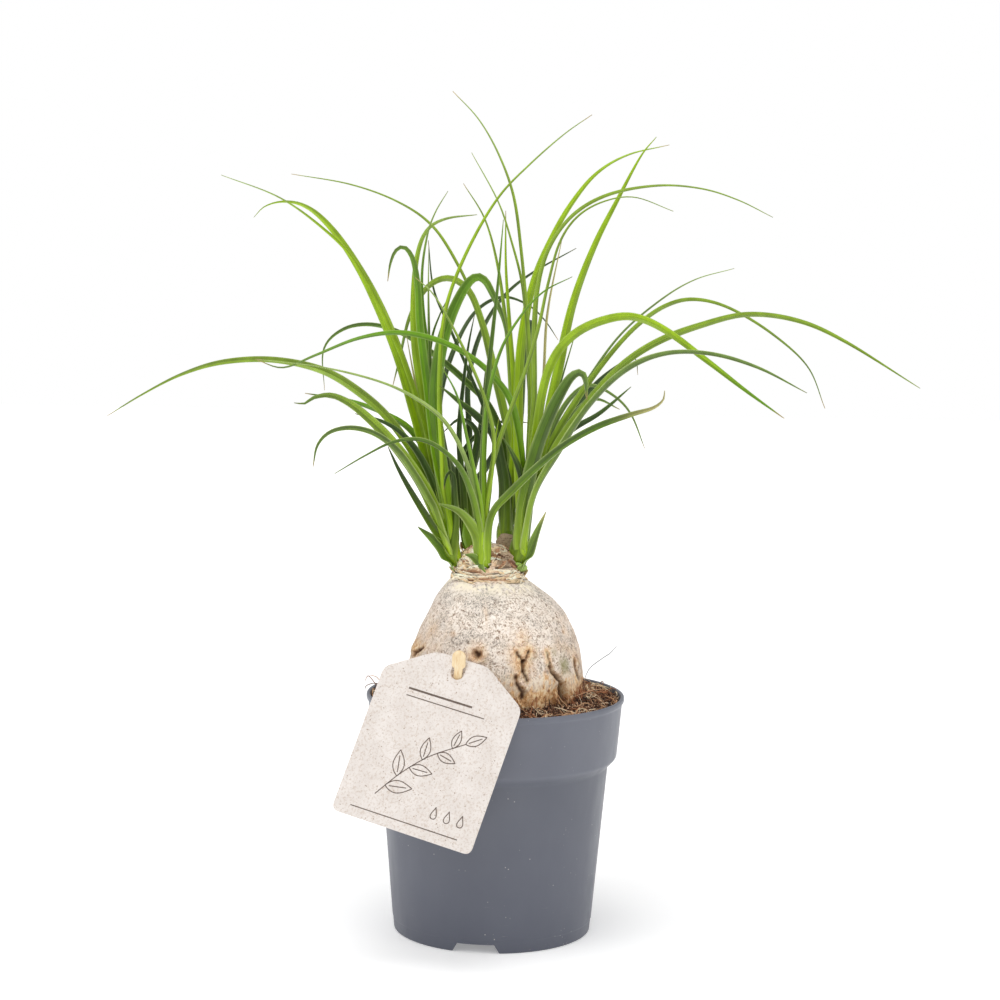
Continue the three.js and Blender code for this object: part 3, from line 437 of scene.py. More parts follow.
def put_color(mesh, name, colors):
    """A colour for each vertex, as rows of three or four values."""
    layer = mesh.attributes.new(name, "FLOAT_COLOR", "POINT")
    rows = np.ones((len(colors), 4))
    rows[:, : colors.shape[1]] = colors
    layer.data.foreach_set("color", rows.astype(np.float32).ravel())


def settle(piece, slot, *nodes):
    """Rides the finished piece on the plant and hides the nodes it stands for; its slot is not used."""
    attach(piece, "root")
    if nodes:
        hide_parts(*nodes)


# ---------- materials ----------
class Nodes:
    """A node tree with a short way to add and join its nodes."""

    def __init__(self, tree):
        self.tree = tree

    def add(self, kind, inputs=None, **settings):
        """A new node, whose inputs are given as values or as other nodes' outputs."""
        made = self.tree.nodes.new(kind)
        for key, value in settings.items():
            setattr(made, key, value)
        for key, value in (inputs or {}).items():
            if isinstance(value, bpy.types.NodeSocket):
                self.tree.links.new(value, made.inputs[key])
            else:
                made.inputs[key].default_value = value
        return made

    def node(self, kind, inputs=None, output=0, **settings):
        """One output of a new node."""
        return self.add(kind, inputs, **settings).outputs[output]


class Finish(Nodes):
    """A material, with patterns that are sized in millimetres."""

    def __init__(self, name, **sockets):
        self.material = bpy.data.materials.new(name)
        self.material.use_nodes = True
        super().__init__(self.material.node_tree)
        self.shader = self.tree.nodes["Principled BSDF"]
        for socket, value in sockets.items():
            self.shader.inputs[socket.replace("_", " ").title().replace("Ior", "IOR")].default_value = value

    def link(self, output, socket="Base Color"):
        self.tree.links.new(output, self.shader.inputs[socket])

    def place(self):
        return self.node("ShaderNodeTexCoord", output="Object")

    def stretched(self, size):
        """Object coordinates in pattern units of a size in millimetres, or of one for each axis."""
        sizes = size if isinstance(size, tuple) else (size,) * 3
        scale = tuple(1 / (each * MM) for each in sizes)
        return self.node("ShaderNodeMapping", {"Vector": self.place(), "Scale": scale})

    def attribute(self, name):
        return self.node("ShaderNodeAttribute", attribute_name=name)

    def noise(self, size, detail, roughness=0.55, curl=0.0):
        """Noise with lumps of a size in millimetres, or over coordinates that are given instead."""
        vector = size if isinstance(size, bpy.types.NodeSocket) else self.stretched(size)
        inputs = {"Vector": vector, "Scale": 1.0, "Detail": detail, "Roughness": roughness,
                  "Distortion": curl}
        return self.node("ShaderNodeTexNoise", inputs)

    def cells(self, size):
        return self.node("ShaderNodeTexVoronoi", {"Vector": self.stretched(size), "Scale": 1.0})

    def between(self, value, low, high, to_low=0.0, to_high=1.0):
        return self.node("ShaderNodeMapRange", {0: value, 1: low, 2: high, 3: to_low, 4: to_high})

    def product(self, first, second):
        return self.node("ShaderNodeMath", {0: first, 1: second}, operation="MULTIPLY")

    def mix(self, amount, first, second, blend_type="MIX"):
        """Colours mixed by an amount; a plain colour is given as seen on a screen."""
        first, second = ((*linear(c), 1) if isinstance(c, tuple) else c for c in (first, second))
        inputs = {0: amount, 6: first, 7: second}
        return self.node("ShaderNodeMix", inputs, output=2, data_type="RGBA", blend_type=blend_type)

    def ramp(self, value, *stops):
        """A colour ramp of (place, colour) stops, in colours as seen on a screen."""
        made = self.add("ShaderNodeValToRGB", {"Fac": value})
        steps = made.color_ramp.elements
        while len(steps) < len(stops):
            steps.new(0.5)
        for step, (at, color) in zip(steps, stops):
            step.position = at
            step.color = (*linear(color), 1)
        return made.outputs[0]

    def bump(self, height, depth_mm, strength=1.0):
        inputs = {"Height": height, "Strength": strength, "Distance": depth_mm * MM}
        self.link(self.node("ShaderNodeBump", inputs), "Normal")


def grained_finish(name, roughness, ior, grains, *stops, relief=None):
    """A material whose colour follows a noise through a ramp. Its relief is a noise and a depth."""
    finish = Finish(name, roughness=roughness, ior=ior)
    finish.link(finish.ramp(finish.noise(*grains), *stops))
    if relief:
        finish.bump(finish.noise(*relief[0]), relief[1])
    return finish.material


def pot_finish():
    finish = Finish("satin_grey_plastic", roughness=0.42, ior=1.49)
    broad = finish.noise((30, 30, 45), 4)
    color = finish.ramp(broad, (0.3, (0.40, 0.412, 0.455)), (0.7, (0.428, 0.44, 0.48)))
    height = finish.node("ShaderNodeSeparateXYZ", {"Vector": finish.stretched(1)}, output="Z")
    # Painted shade: the wall darker from the band down towards the foot.
    painted_shade = finish.ramp(finish.between(height, -10, POT["band"][1]), (0.0, (0.79, 0.80, 0.83)),
                         (0.55, (0.88, 0.885, 0.90)), (0.97, (0.90, 0.905, 0.91)), (1.0, (1, 1, 1)))
    color = finish.mix(1.0, color, painted_shade, "MULTIPLY")
    dust = finish.between(finish.cells(2.6), 0.13, 0.06)
    patches = finish.between(finish.noise(14, 2), 0.53, 0.66)
    color = finish.mix(finish.product(dust, patches), color, (0.70, 0.68, 0.66))
    scuffs = finish.between(finish.noise((9, 9, 0.9), 5, 0.7), 0.66, 0.74, 0.0, 0.35)
    near_foot = finish.between(height, 34, 4)
    color = finish.mix(finish.product(scuffs, near_foot), color, (0.66, 0.66, 0.67))
    finish.link(color)
    finish.link(finish.between(finish.noise((9, 9, 28), 5), 0.3, 0.7, 0.36, 0.5), "Roughness")
    finish.bump(finish.noise(0.7, 2), 0.02, 0.5)
    return finish.material


def bark_finish():
    finish = Finish("speckled_bark", roughness=0.85, ior=1.42)
    parts = finish.add("ShaderNodeSeparateColor", {"Color": finish.attribute("bark_marks_and_shade")})
    ochre, dark, pale = parts.outputs[:3]
    fine = finish.noise((1.5, 1.5, 1.7), 4, 0.68, 1.6)
    worn = finish.ramp(fine, (0.37, (0.55, 0.46, 0.39)), (0.45, (0.85, 0.78, 0.715)),
                       (0.52, (0.975, 0.93, 0.885)), (0.7, (0.995, 0.97, 0.94)))
    dusty = finish.ramp(fine, (0.38, (0.45, 0.42, 0.39)), (0.48, (0.77, 0.725, 0.68)),
                        (0.58, (0.94, 0.895, 0.85)))
    ground = finish.mix(finish.between(finish.noise((13, 13, 9), 4), 0.46, 0.66), worn, dusty)
    streak = finish.noise((1.6, 1.6, 2.6), 5, 0.7, 0.8)
    warm = finish.ramp(streak, (0.36, (0.58, 0.37, 0.22)), (0.48, (0.89, 0.69, 0.47)),
                       (0.6, (0.98, 0.88, 0.71)))
    ground = finish.mix(ochre, ground, warm)
    ground = finish.mix(pale, ground, (1.0, 0.955, 0.87))
    ground = finish.mix(finish.attribute("bark_moss"), ground, (0.56, 0.55, 0.34))
    # dark is painted shade: in the knots' hollows, along the cracks, in the neck's recesses and on the bulb's
    # sides.
    finish.link(finish.mix(dark, ground, (0.30, 0.19, 0.12)))
    finish.bump(fine, 0.3)
    return finish.material


def leaf_finish():
    finish = Finish("strap_leaf", roughness=0.4, specular_ior_level=0.32)
    course = finish.node("ShaderNodeUVMap", uv_map="leaf_map")
    veins = finish.node("ShaderNodeMapping", {"Vector": course, "Scale": (11.0, 0.3, 1.0)})
    lines = finish.noise(veins, 1, 0.5)
    tone = finish.mix(finish.between(lines, 0.35, 0.65, 0.0, 0.5), finish.attribute("leaf_tone"),
                      (1.0, 1.0, 0.75), "SOFT_LIGHT")
    mottled = finish.between(finish.noise((6, 6, 14), 2), 0.35, 0.65, 0.93, 1.17)
    mottled = finish.node("ShaderNodeCombineColor", {0: mottled, 1: mottled, 2: mottled})
    finish.link(finish.mix(1.0, tone, mottled, "MULTIPLY"))
    finish.bump(lines, 0.08, 0.5)
    return finish.material


def card_finish():
    finish = Finish("recycled_card", roughness=0.88, ior=1.4)
    color = finish.ramp(finish.noise(9, 4), (0.35, (0.875, 0.843, 0.818)), (0.65, (0.912, 0.884, 0.862)))
    grains = finish.between(finish.noise(1.1, 4, 0.75), 0.5, 0.34, 0.0, 0.75)
    color = finish.mix(grains, color, (0.77, 0.70, 0.64))
    flecks = finish.between(finish.cells(1.5), 0.24, 0.12)
    rare = finish.between(finish.noise(2.6, 3), 0.52, 0.6)
    finish.link(finish.mix(finish.product(flecks, rare), color, (0.62, 0.53, 0.46)))
    finish.bump(finish.noise(0.5, 4), 0.05)
    return finish.material


# ---------- camera, light and floor ----------
# In metres and watts. A lamp is round: (place, size, power).
LAMPS = {"left_box": ((-1.1, -0.7, 0.9), 0.7, 3.8), "right_box": ((1.1, -0.6, 0.8), 0.7, 2.4),
         "top_box": ((-0.1, -0.3, 1.5), 0.8, 6.5)}
LAMPS_AIM = Vector((0, 0, 0.2))
ROOM_LIGHT = 0.62  # of what the camera sees of the room, which is white
FLOOR_REACH = 3.0
FLOOR_GLOW = (0.1, 1.6, 0.265, 0.60)  # from and to how far out it changes, and its strength at both


def make_camera():
    down, roll, yaw = (math.radians(CAMERA[k]) for k in ("down", "roll", "yaw"))
    ahead = Vector((math.sin(yaw) * math.cos(down), math.cos(yaw) * math.cos(down), -math.sin(down)))
    right = Vector((math.cos(yaw), -math.sin(yaw), 0))
    up = right.cross(ahead)
    rolled_right = math.cos(roll) * right + math.sin(roll) * up
    rolled_up = math.cos(roll) * up - math.sin(roll) * right
    turn = Matrix((rolled_right, rolled_up, -ahead)).transposed().to_4x4()
    lens = bpy.data.cameras.new("front_view")
    lens.lens = CAMERA["lens"]
    lens.sensor_width = CAMERA["sensor"]
    lens.clip_start = 0.05
    camera = in_scene("front_view", lens)
    camera.matrix_world = Matrix.Translation((0, -EYE["away"] * MM, EYE["high"] * MM)) @ turn
    bpy.context.scene.camera = camera


def make_studio():
    bpy.context.scene.view_settings.view_transform = "Standard"
    world = bpy.data.worlds.new("white_room")
    world.use_nodes = True
    bpy.context.scene.world = world
    room = Nodes(world.node_tree)
    sky = room.tree.nodes["Background"]
    sky.inputs["Color"].default_value = (1, 1, 1, 1)
    seen_directly = room.node("ShaderNodeLightPath", output="Is Camera Ray")
    strength = room.node("ShaderNodeMapRange", {"Value": seen_directly, "To Min": ROOM_LIGHT})
    room.tree.links.new(strength, sky.inputs["Strength"])
    for name, (place, size, power) in LAMPS.items():
        lamp = bpy.data.lights.new(name, "AREA")
        lamp.shape = "DISK"
        lamp.size = size
        lamp.energy = power
        light = in_scene(name, lamp)
        light.location = place
        light.rotation_euler = (LAMPS_AIM - light.location).to_track_quat("-Z", "Y").to_euler()
    paper = Finish("pale_paper", roughness=0.9, emission_color=(1, 1, 1, 1))
    paper.link(paper.ramp(paper.noise(60, 2), (0.2, (0.975, 0.975, 0.975)), (0.8, (0.98, 0.98, 0.98))))
    # The floor glows: weaker near the pot, stronger further out.
    away = paper.node("ShaderNodeVectorMath", {0: paper.place()}, output="Value", operation="LENGTH")
    paper.link(paper.between(away, *FLOOR_GLOW), "Emission Strength")
    mesh = bpy.data.meshes.new("floor")
    corners = [(x * FLOOR_REACH, y * FLOOR_REACH, 0) for x, y in ((-1, -1), (1, -1), (1, 1), (-1, 1))]
    mesh.from_pydata(corners, [], [(0, 1, 2, 3)])
    mesh.materials.append(paper.material)
    in_scene("floor", mesh)


# ---------- pot ----------
def rounded_corner(before, here, after, radius, steps):
    """Points that round a corner off, within the stretches on either side of it."""
    back, ahead = before - here, after - here
    reach = min(radius, 0.45 * back.length, 0.45 * ahead.length)
    start = here + back.normalized() * reach
    end = here + ahead.normalized() * reach
    parts = [k / steps for k in range(steps + 1)]
    return [(1 - part) ** 2 * start + 2 * part * (1 - part) * here + part**2 * end for part in parts]


def pot_radius(z):
    """The outside radius of the pot's wall at a height."""
    (shoulder, shoulder_z), (band, band_z) = POT["shoulder"], POT["band"]
    heights = [0, shoulder_z, band_z, POT["height"]]
    return np.interp(z, heights, [POT["foot"], shoulder, band, POT["rim"] - 0.4])


def round_outline(radius, turn, count, **ends):
    """Points (x, y) round a circle, counter-clockwise from its right, over a turn in radians."""
    return [(radius * math.cos(a), radius * math.sin(a)) for a in np.linspace(0, turn, count, **ends)]


def make_pot():
    sides = 192
    angle = np.linspace(0, 360, sides, endpoint=False)
    height, rim, foot, wall = (POT[k] for k in ("height", "rim", "foot", "wall"))
    (shoulder, shoulder_z), (band, band_z) = POT["shoulder"], POT["band"]
    foot_inside = foot - POT["foot_wide"]
    low, high = POT["floor_under"], POT["floor_top"]
    line_z = POT["foot_line"]
    corners = [Vector(corner) for corner in (
        (1, low), (foot_inside, low), (foot_inside, 0), (foot, 0), (pot_radius(line_z), line_z),
        (pot_radius(line_z) + 0.25, line_z + 0.5), (shoulder, shoulder_z), (band, band_z),
        (rim - LIP["proud"], height - LIP["deep"] - LIP["slope"]), (rim, height - LIP["deep"]),
        (rim, height), (rim - LIP["wide"], height),
        (pot_radius(band_z + 1) - wall, band_z + 1), (shoulder - wall, shoulder_z + 0.6),
        (pot_radius(high) - wall, high), (1, high),
    )]
    profile = corners[:1]
    for three in zip(corners, corners[1:], corners[2:]):
        profile += rounded_corner(*three, 1.0, 4)
    profile.append(corners[-1])
    rings = [np.stack([*from_axis(angle, radius), np.full(sides, z)], -1) for radius, z in profile]
    points = np.vstack([*rings, [(0, 0, low), (0, 0, high)]])
    pot = make_piece("moulded_pot", points, lathe_faces(len(profile), sides), pot_finish())

    wide, narrow, notch_high = NOTCH["wide"] / 2, NOTCH["narrow"] / 2, NOTCH["high"]
    notch = [(-wide, -1), (wide, -1), (narrow, notch_high), (-narrow, notch_high)]
    circle = round_outline(DRAIN["radius"], 2 * math.pi, 32, endpoint=False)
    upright = Matrix.Rotation(math.radians(90), 4, "X")
    outwards = Matrix.Translation((0, -DRAIN["at"], 0))
    notches = pot_cutters("notch", notch, NOTCH["cut"], NOTCH["count"], upright)
    carve(pot, notches + pot_cutters("drain", circle, (low - 2, high + 2), DRAIN["count"], outwards))
    shade(pot.data, 30)
    settle(pot, "pot_plastic", "pot")


def pot_cutters(name, outline, span, count, place):
    """Prisms over an outline of (x, y) points, moved by a matrix and repeated round the pot."""
    cutters = []
    for i in range(count):
        moved = Matrix.Rotation(math.radians(NOTCH["first"] + 360 * i / count), 4, "Z") @ place
        points = [moved @ Vector((x, y, z)) for z in span for x, y in outline]
        cutters.append(cut_solid(name, points, len(outline)))
    return cutters


# ---------- bulb ----------
def bulb_radius(angle, z, outline):
    """The bulb's radius at angles (degrees round from the front to the right) and points of its outline."""
    turn = np.radians(angle)
    low = 1 - smooth(104, 150, z)
    radius = outline * (1 + 0.02 * np.sin(2 * turn + 0.7) + 0.012 * np.sin(3 * turn + 2.1))
    for middle, top, depth in FURROWS:
        away = (angle - middle + 180) % 360 - 180
        bend = FURROW["bend"] * np.sin(z / FURROW["wave"] + middle)
        crease = bell((away + bend) / FURROW["crease"])
        valley = bell((away + 0.5 * bend) / FURROW["valley"])
        fade = 1 - smooth(top - 16, top + 1, z)
        radius = radius - depth * (0.75 * valley + 0.4 * crease) * fade * (outline / BULB_WIDE)
    return radius + 0.5 * low * np.sin(7 * turn + 1) * (outline / BULB_WIDE)


def bulb_at(angle, z, radius):
    """Points round the bulb's middle line, which shifts sideways at the neck."""
    x, y = from_axis(angle, radius)
    return np.stack([x + NECK_SHIFT["x"] * smooth(NECK_SHIFT["from"], NECK_SHIFT["to"], z), y, z], -1)


def outline_at(z):
    heights, radii = zip(*BULB_OUTLINE)
    return np.interp(z, heights, radii)


def bulb_skin(angle, z):
    """The bulb's radius at angles, all at one height."""
    return bulb_radius(angle, np.full_like(angle, z), outline_at(z))


def seen(right, up):
    """Where a mark on the front elevation lies on the bulb: (angle in degrees, height)."""
    depth = -30.0
    for _ in range(12):
        x, _, z = from_elevation(right, up, depth)
        x -= NECK_SHIFT["x"] * smooth(NECK_SHIFT["from"], NECK_SHIFT["to"], z)
        angle = math.degrees(math.atan2(x, -depth))
        radius = float(bulb_skin(np.array(angle), z))
        depth = -math.sqrt(max(radius**2 - x**2, 1.0))
    return angle, z


# Knots on the bark: (right, up, half width, half height, depth, rim, ochre, dark), where dark is painted
# shade in a sunk knot's hollow.
KNOTS = [
    (-36.5, 131.5, 3.6, 4.0, -1.8, 0.3, 0.8, 0.0),
    (-8.8, 129.4, 2.9, 2.7, 1.6, 1.2, 1.0, 1.0), (12.4, 126.5, 4.0, 7.0, -1.1, 0.2, 0.8, 0.0),
    (12.4, 126.2, 1.0, 1.8, 0.8, 0.0, 0.9, 0.9),
    (37.5, 127, 2.6, 5.6, -1.3, 0.4, 0.6, 0.3), (38, 123, 1.3, 2.6, 0.8, 0.2, 0.5, 0.9),
    (12.4, 110.5, 2.4, 4.0, 1.4, 0.9, 0.9, 1.0), (-5, 148, 0.7, 2.6, 0.25, 0.1, 0.35, 0.0),
    (31, 141, 0.9, 0.9, 0.3, 0.2, 0.6, 0.5), (-20, 139, 1.2, 0.8, 0.3, 0.2, 0.4, 0.3),
]
# The same on the sides and the back, at (degrees round, height).
REAR_KNOTS = [
    (128, 131, 2.6, 3.0, 1.4, 1.0, 0.9, 1.0), (173, 134, 3.4, 6.0, -1.2, 0.3, 0.7, 0.0),
    (173, 132, 1.1, 3.4, 1.2, 0.2, 0.9, 0.9), (206, 145, 1.0, 1.0, 0.3, 0.2, 0.6, 0.5),
    (238, 129, 2.8, 2.6, 1.5, 1.1, 1.0, 1.0), (92, 140, 1.0, 1.4, 0.4, 0.2, 0.6, 0.5),
    (278, 133, 3.2, 4.0, -1.6, 0.4, 0.8, 0.2),
]
REAR_CRACKS = {"from": 100, "to": 300, "half": 0.9, "depth": 1.7, "edge": 2.8, "low": 106, "sway": 3.5}
# Wounds and furrow lips: (half width, depth, width of the ochre edge, then its course as (right, up)).
WOUNDS = [
    (0.45, 0.9, 3.3, (9.6, 130.6), (10.8, 128.6), (12, 126.4)),
    (0.45, 0.9, 3.3, (15, 131.6), (14, 129), (12.8, 126.4)),
    (0.85, 2.0, 2.8, (12.2, 127), (12.2, 124.4), (12.5, 121.8)),
    (0.4, 0.6, 2.4, (12.5, 121.8), (13.6, 119.5), (14.6, 117.5)),
    (0.3, 0.8, 2.2, (23.6, 131), (24.4, 127), (25, 124.5)),
    (0.8, 2.4, 2.4, (25, 124.5), (26.6, 121), (29, 118.4), (30.8, 115.6)),
    (1.9, 4.2, 2.8, (31.2, 114.6), (32, 111), (33, 107)),
    (0.6, 1.0, 2.6, (9.2, 119), (9.8, 115.5), (11.5, 113)),
    (0.6, 1.2, 2.0, (36, 128), (36.6, 124), (38, 119)),
    (0.6, 1.3, 2.6, (-37, 128.8), (-35.3, 130.8), (-33.7, 132.4)),
]
# Greenish patches on the bark: (right, up, size, strength).
MOSS = [(32, 125, 3.2, 0.75), (-14, 165.5, 1.8, 0.8), (27, 131, 2.2, 0.35)]


def arc(angle, middle, radius):
    """How far round the bark an angle lies from a middle one, in millimetres."""
    return np.radians((angle - middle + 180) % 360 - 180) * radius


def rear_wounds():
    """A crack along each furrow of the back, as a wound whose stops are (degrees round, height)."""
    rng = random.Random(3)
    wounds = []
    for middle, top, _ in FURROWS:
        if REAR_CRACKS["from"] < middle < REAR_CRACKS["to"]:
            heights = np.linspace(top + rng.uniform(0, 6), REAR_CRACKS["low"], 5)
            stops = [(middle + rng.uniform(-1, 1) * REAR_CRACKS["sway"], z) for z in heights]
            wounds.append((*(REAR_CRACKS[k] for k in ("half", "depth", "edge")), *stops))
    return wounds


def distance_to(stops, angle, z, radius):
    """How far each point of the unrolled bark lies from a wound's course, in millimetres."""
    nearest = np.full(z.shape, 1e3)
    for (from_angle, from_z), (to_angle, to_z) in zip(stops, stops[1:]):
        across, rise = arc(angle, from_angle, radius), z - from_z
        reach_across, reach_up = arc(to_angle, from_angle, radius), to_z - from_z
        part = (across * reach_across + rise * reach_up) / (reach_across**2 + reach_up**2)
        part = np.clip(part, 0, 1)
        nearest = np.minimum(nearest, np.hypot(across - part * reach_across, rise - part * reach_up))
    return nearest


def bark_marks_and_shade(angle, z, outline, ragged):
    """What the knots, wounds and moss do to the bark: how far it is sunk, ochre, dark with painted shade in
    hollows and cracks, and mossy.
    """
    sunk, ochre, dark, moss = (np.zeros_like(z) for _ in range(4))
    knots = [(*seen(*knot[:2]), *knot[2:]) for knot in KNOTS] + REAR_KNOTS
    for at_angle, at_z, wide, high, depth, rim, tint, shadow in knots:
        away = np.hypot(arc(angle, at_angle, outline) / wide, (z - at_z) / high) + 0.35 * ragged
        sunk = sunk + depth * bell(away / 0.75) - rim * bell((away - 1.2) / 0.4)
        ochre = np.maximum(ochre, tint * bell(away / 1.6))
        # Painted shade in the knot's hollow.
        dark = np.maximum(dark, shadow * np.exp(-(np.maximum(away, 0) / 0.62) ** 4))
    wounds = [(*wound[:3], *(seen(*stop) for stop in wound[3:])) for wound in WOUNDS] + rear_wounds()
    for wide, depth, edge, *stops in wounds:
        away = np.maximum(distance_to(stops, angle, z, outline) + 0.6 * ragged, 0)
        sunk = sunk + depth * bell(away / wide) - 0.4 * bell((away - 2 * wide) / wide)
        ochre = np.maximum(ochre, 0.9 * bell(away / edge))
        # Painted shade along the wound's crack.
        dark = np.maximum(dark, bell(away / (0.45 + 0.55 * wide)))
    for right, up, size, strength in MOSS:
        at_angle, at_z = seen(right, up)
        away = np.hypot(arc(angle, at_angle, outline), z - at_z) / size + 0.5 * ragged
        moss = np.maximum(moss, strength * bell(np.maximum(away, 0)))
    return sunk, ochre, dark, moss


def make_bulb():
    columns, rows = 384, 220
    line = curve_through([(z, r, 0) for z, r in BULB_OUTLINE], 2400)
    line = even_steps(line, rows + 2)[0][1:-1]
    angle, row = np.meshgrid(np.linspace(0, 360, columns, endpoint=False), np.arange(rows))
    z, outline = line[row, 0], line[row, 1]
    radius = bulb_radius(angle, z, outline)
    ragged = grain(bulb_at(angle, z, radius).reshape(-1, 3), 1.7, 7).reshape(z.shape)
    ragged_z = z + 2.4 * ragged
    foot = 0.95 * (1 - smooth(*BARK["foot"], ragged_z)) + 0.16 * (1 - smooth(*BARK["warm"], z))
    flanks = smooth(0.35, 0.9, np.abs(np.sin(np.radians(angle)))) * (1 - smooth(*BARK["flanks"], z))
    sunk, ochre, dark, moss = bark_marks_and_shade(angle, z, outline, ragged)
    ochre = np.maximum(ochre, foot + 0.2 * flanks).ravel()
    points = bulb_at(angle, z, radius - sunk).reshape(-1, 3)
    dark, moss, z, ragged_z = (field.ravel() for field in (dark, moss, z, ragged_z))

    lumps, fine = grain(points, 6.5, 1), grain(points, 1.6, 2)
    neck = smooth(*BARK["neck"], z)
    layered = grain(points * (0.16, 0.16, 0.85), 1, 3) + 0.4 * grain(points * (0.5, 0.5, 1.6), 1, 4)
    lift = blend(0.3 * lumps + 0.16 * fine, 1.1 * layered, neck)
    outward = unit(points - bulb_at(np.zeros_like(z), z, np.zeros_like(z)))
    points = points + outward * lift[:, None]

    ochre = np.clip(ochre + 0.3 * lumps * (ochre > 0.1) + neck * (0.5 + 0.5 * layered), 0, 1)
    # Painted shade in the recesses between the neck's layers.
    dark = np.clip(dark + neck * smooth(-0.2, -0.55, layered) * 0.85, 0, 1)
    band = bell((z - BARK["pale_band"] - 0.8 * lumps) / 2.4) * smooth(-0.5, 0.1, fine + lumps)
    toes = smooth(*BARK["toes"], z) * (1 - 0.95 * smooth(*BARK["toes_end"], ragged_z))
    toes = toes * smooth(-0.5, 0.2, lumps)
    streaky = smooth(0.0, 0.45, grain(points * (1, 1, 0.55), 1.6, 9))
    ochre = np.clip(ochre + 0.7 * toes * streaky, 0, 1)
    # Painted shade: the bulb darker towards its left and right sides, more on the left, below the neck.
    sides = 0.2 * smooth(-14, -40, points[:, 0]) + 0.08 * smooth(22, 40, points[:, 0])
    dark = np.clip(dark + sides * (1 - neck), 0, 1)
    pale = np.clip(0.38 * toes * (1 - streaky) + band, 0, 1)
    marks = np.column_stack([ochre, dark, pale])

    points = np.vstack([points, (0, 0, BULB_OUTLINE[0][0]), (NECK_SHIFT["x"], 0, BULB_OUTLINE[-1][0])])
    bulb = make_piece("woody_base", points, lathe_faces(rows, columns), bark_finish())
    put_color(bulb.data, "bark_marks_and_shade", np.vstack([marks, marks[:1], marks[-1:]]))
    put_color(bulb.data, "bark_moss", np.repeat(np.append(moss, [0, 0])[:, None], 3, 1))
    carve(bulb, [cut_solid(f"socket_{name}", stem_rings(stem, SOCKET_SHARES, SOCKET_GAP), STEM_SIDES)
                 for name, stem in STEMS.items()])
    settle(bulb, "bark", "caudex")


# ---------- dry leaf bases ----------
PAPER_TONES = {"tan": (0.95, 0.84, 0.68), "cream": (1.0, 0.95, 0.85), "brown": (0.70, 0.53, 0.40),
               "pink": (0.68, 0.59, 0.49), "dusk": (0.46, 0.32, 0.24),
               "rim": (0.66, 0.78, 0.40)}

PAPER_SHADE = np.array([0.35, 0.8, 1.0, 1.05, 1.15])  # painted shade and light, from a strip's rooted edge, darker where it tucks under the others, to its free one, lighter


def neck_point(angle, z):
    return bulb_at(angle, z, outline_at(z) + 0.25)


def stem_point(stem):
    """A function that gives the stem's skin at an angle and height."""
    axis = curve_through(stem_points(stem), 60)

    def at(angle, z):
        x, y = from_axis(angle, 1.04 * stem["radius"])
        return np.stack([np.interp(z, axis[:, 2], axis[:, 0]) + x,
                         np.interp(z, axis[:, 2], axis[:, 1]) + y, z], -1)
    return at


def paper_strip(skin, rng, angle, span, low, high, flare):
    """A thin ragged strip that laps round a skin, as rows of closed rings."""
    columns, rises, thin, sunk = 22, len(PAPER_SHADE), 0.22, 0.35
    turn = np.linspace(angle - span / 2, angle + span / 2, columns)
    place = np.linspace(-1, 1, columns)
    ragged = np.interp(place, np.linspace(-1, 1, 8), [rng.uniform(0.7, 1.0) for _ in range(8)])
    tall = (high - low) * ragged * (1 - 0.75 * np.abs(place) ** 3)
    slope = rng.uniform(-1.6, 1.6) * place + rng.uniform(-0.5, 0.5) * np.sin(place * rng.uniform(2, 6))
    rings = []
    for side in (1, 0):
        for k in (range(rises) if side else reversed(range(rises))):
            part = k / (rises - 1)
            z = low + slope + tall * part
            on_skin = skin(turn, z)
            out = unit(on_skin - skin(turn + 180, z))
            away = flare * part**1.6 * (0.6 + 0.4 * ragged) - sunk * (1 - part)
            away = away + side * thin * (1 - 0.6 * part)
            rings.append(on_skin + out * away[:, None])
    return np.stack(rings, 1)


def paper_finish():
    finish = Finish("dry_paper", roughness=0.8, specular_ior_level=0.3)
    lines = finish.noise((1.8, 1.8, 0.4), 4, 0.65)
    streaks = finish.ramp(lines, (0.37, (0.36, 0.24, 0.16)), (0.46, (1.0, 1.0, 1.0)))
    finish.link(finish.mix(0.85, finish.attribute("paper_tone"), streaks, "MULTIPLY"))
    finish.bump(lines, 0.2)
    return finish.material


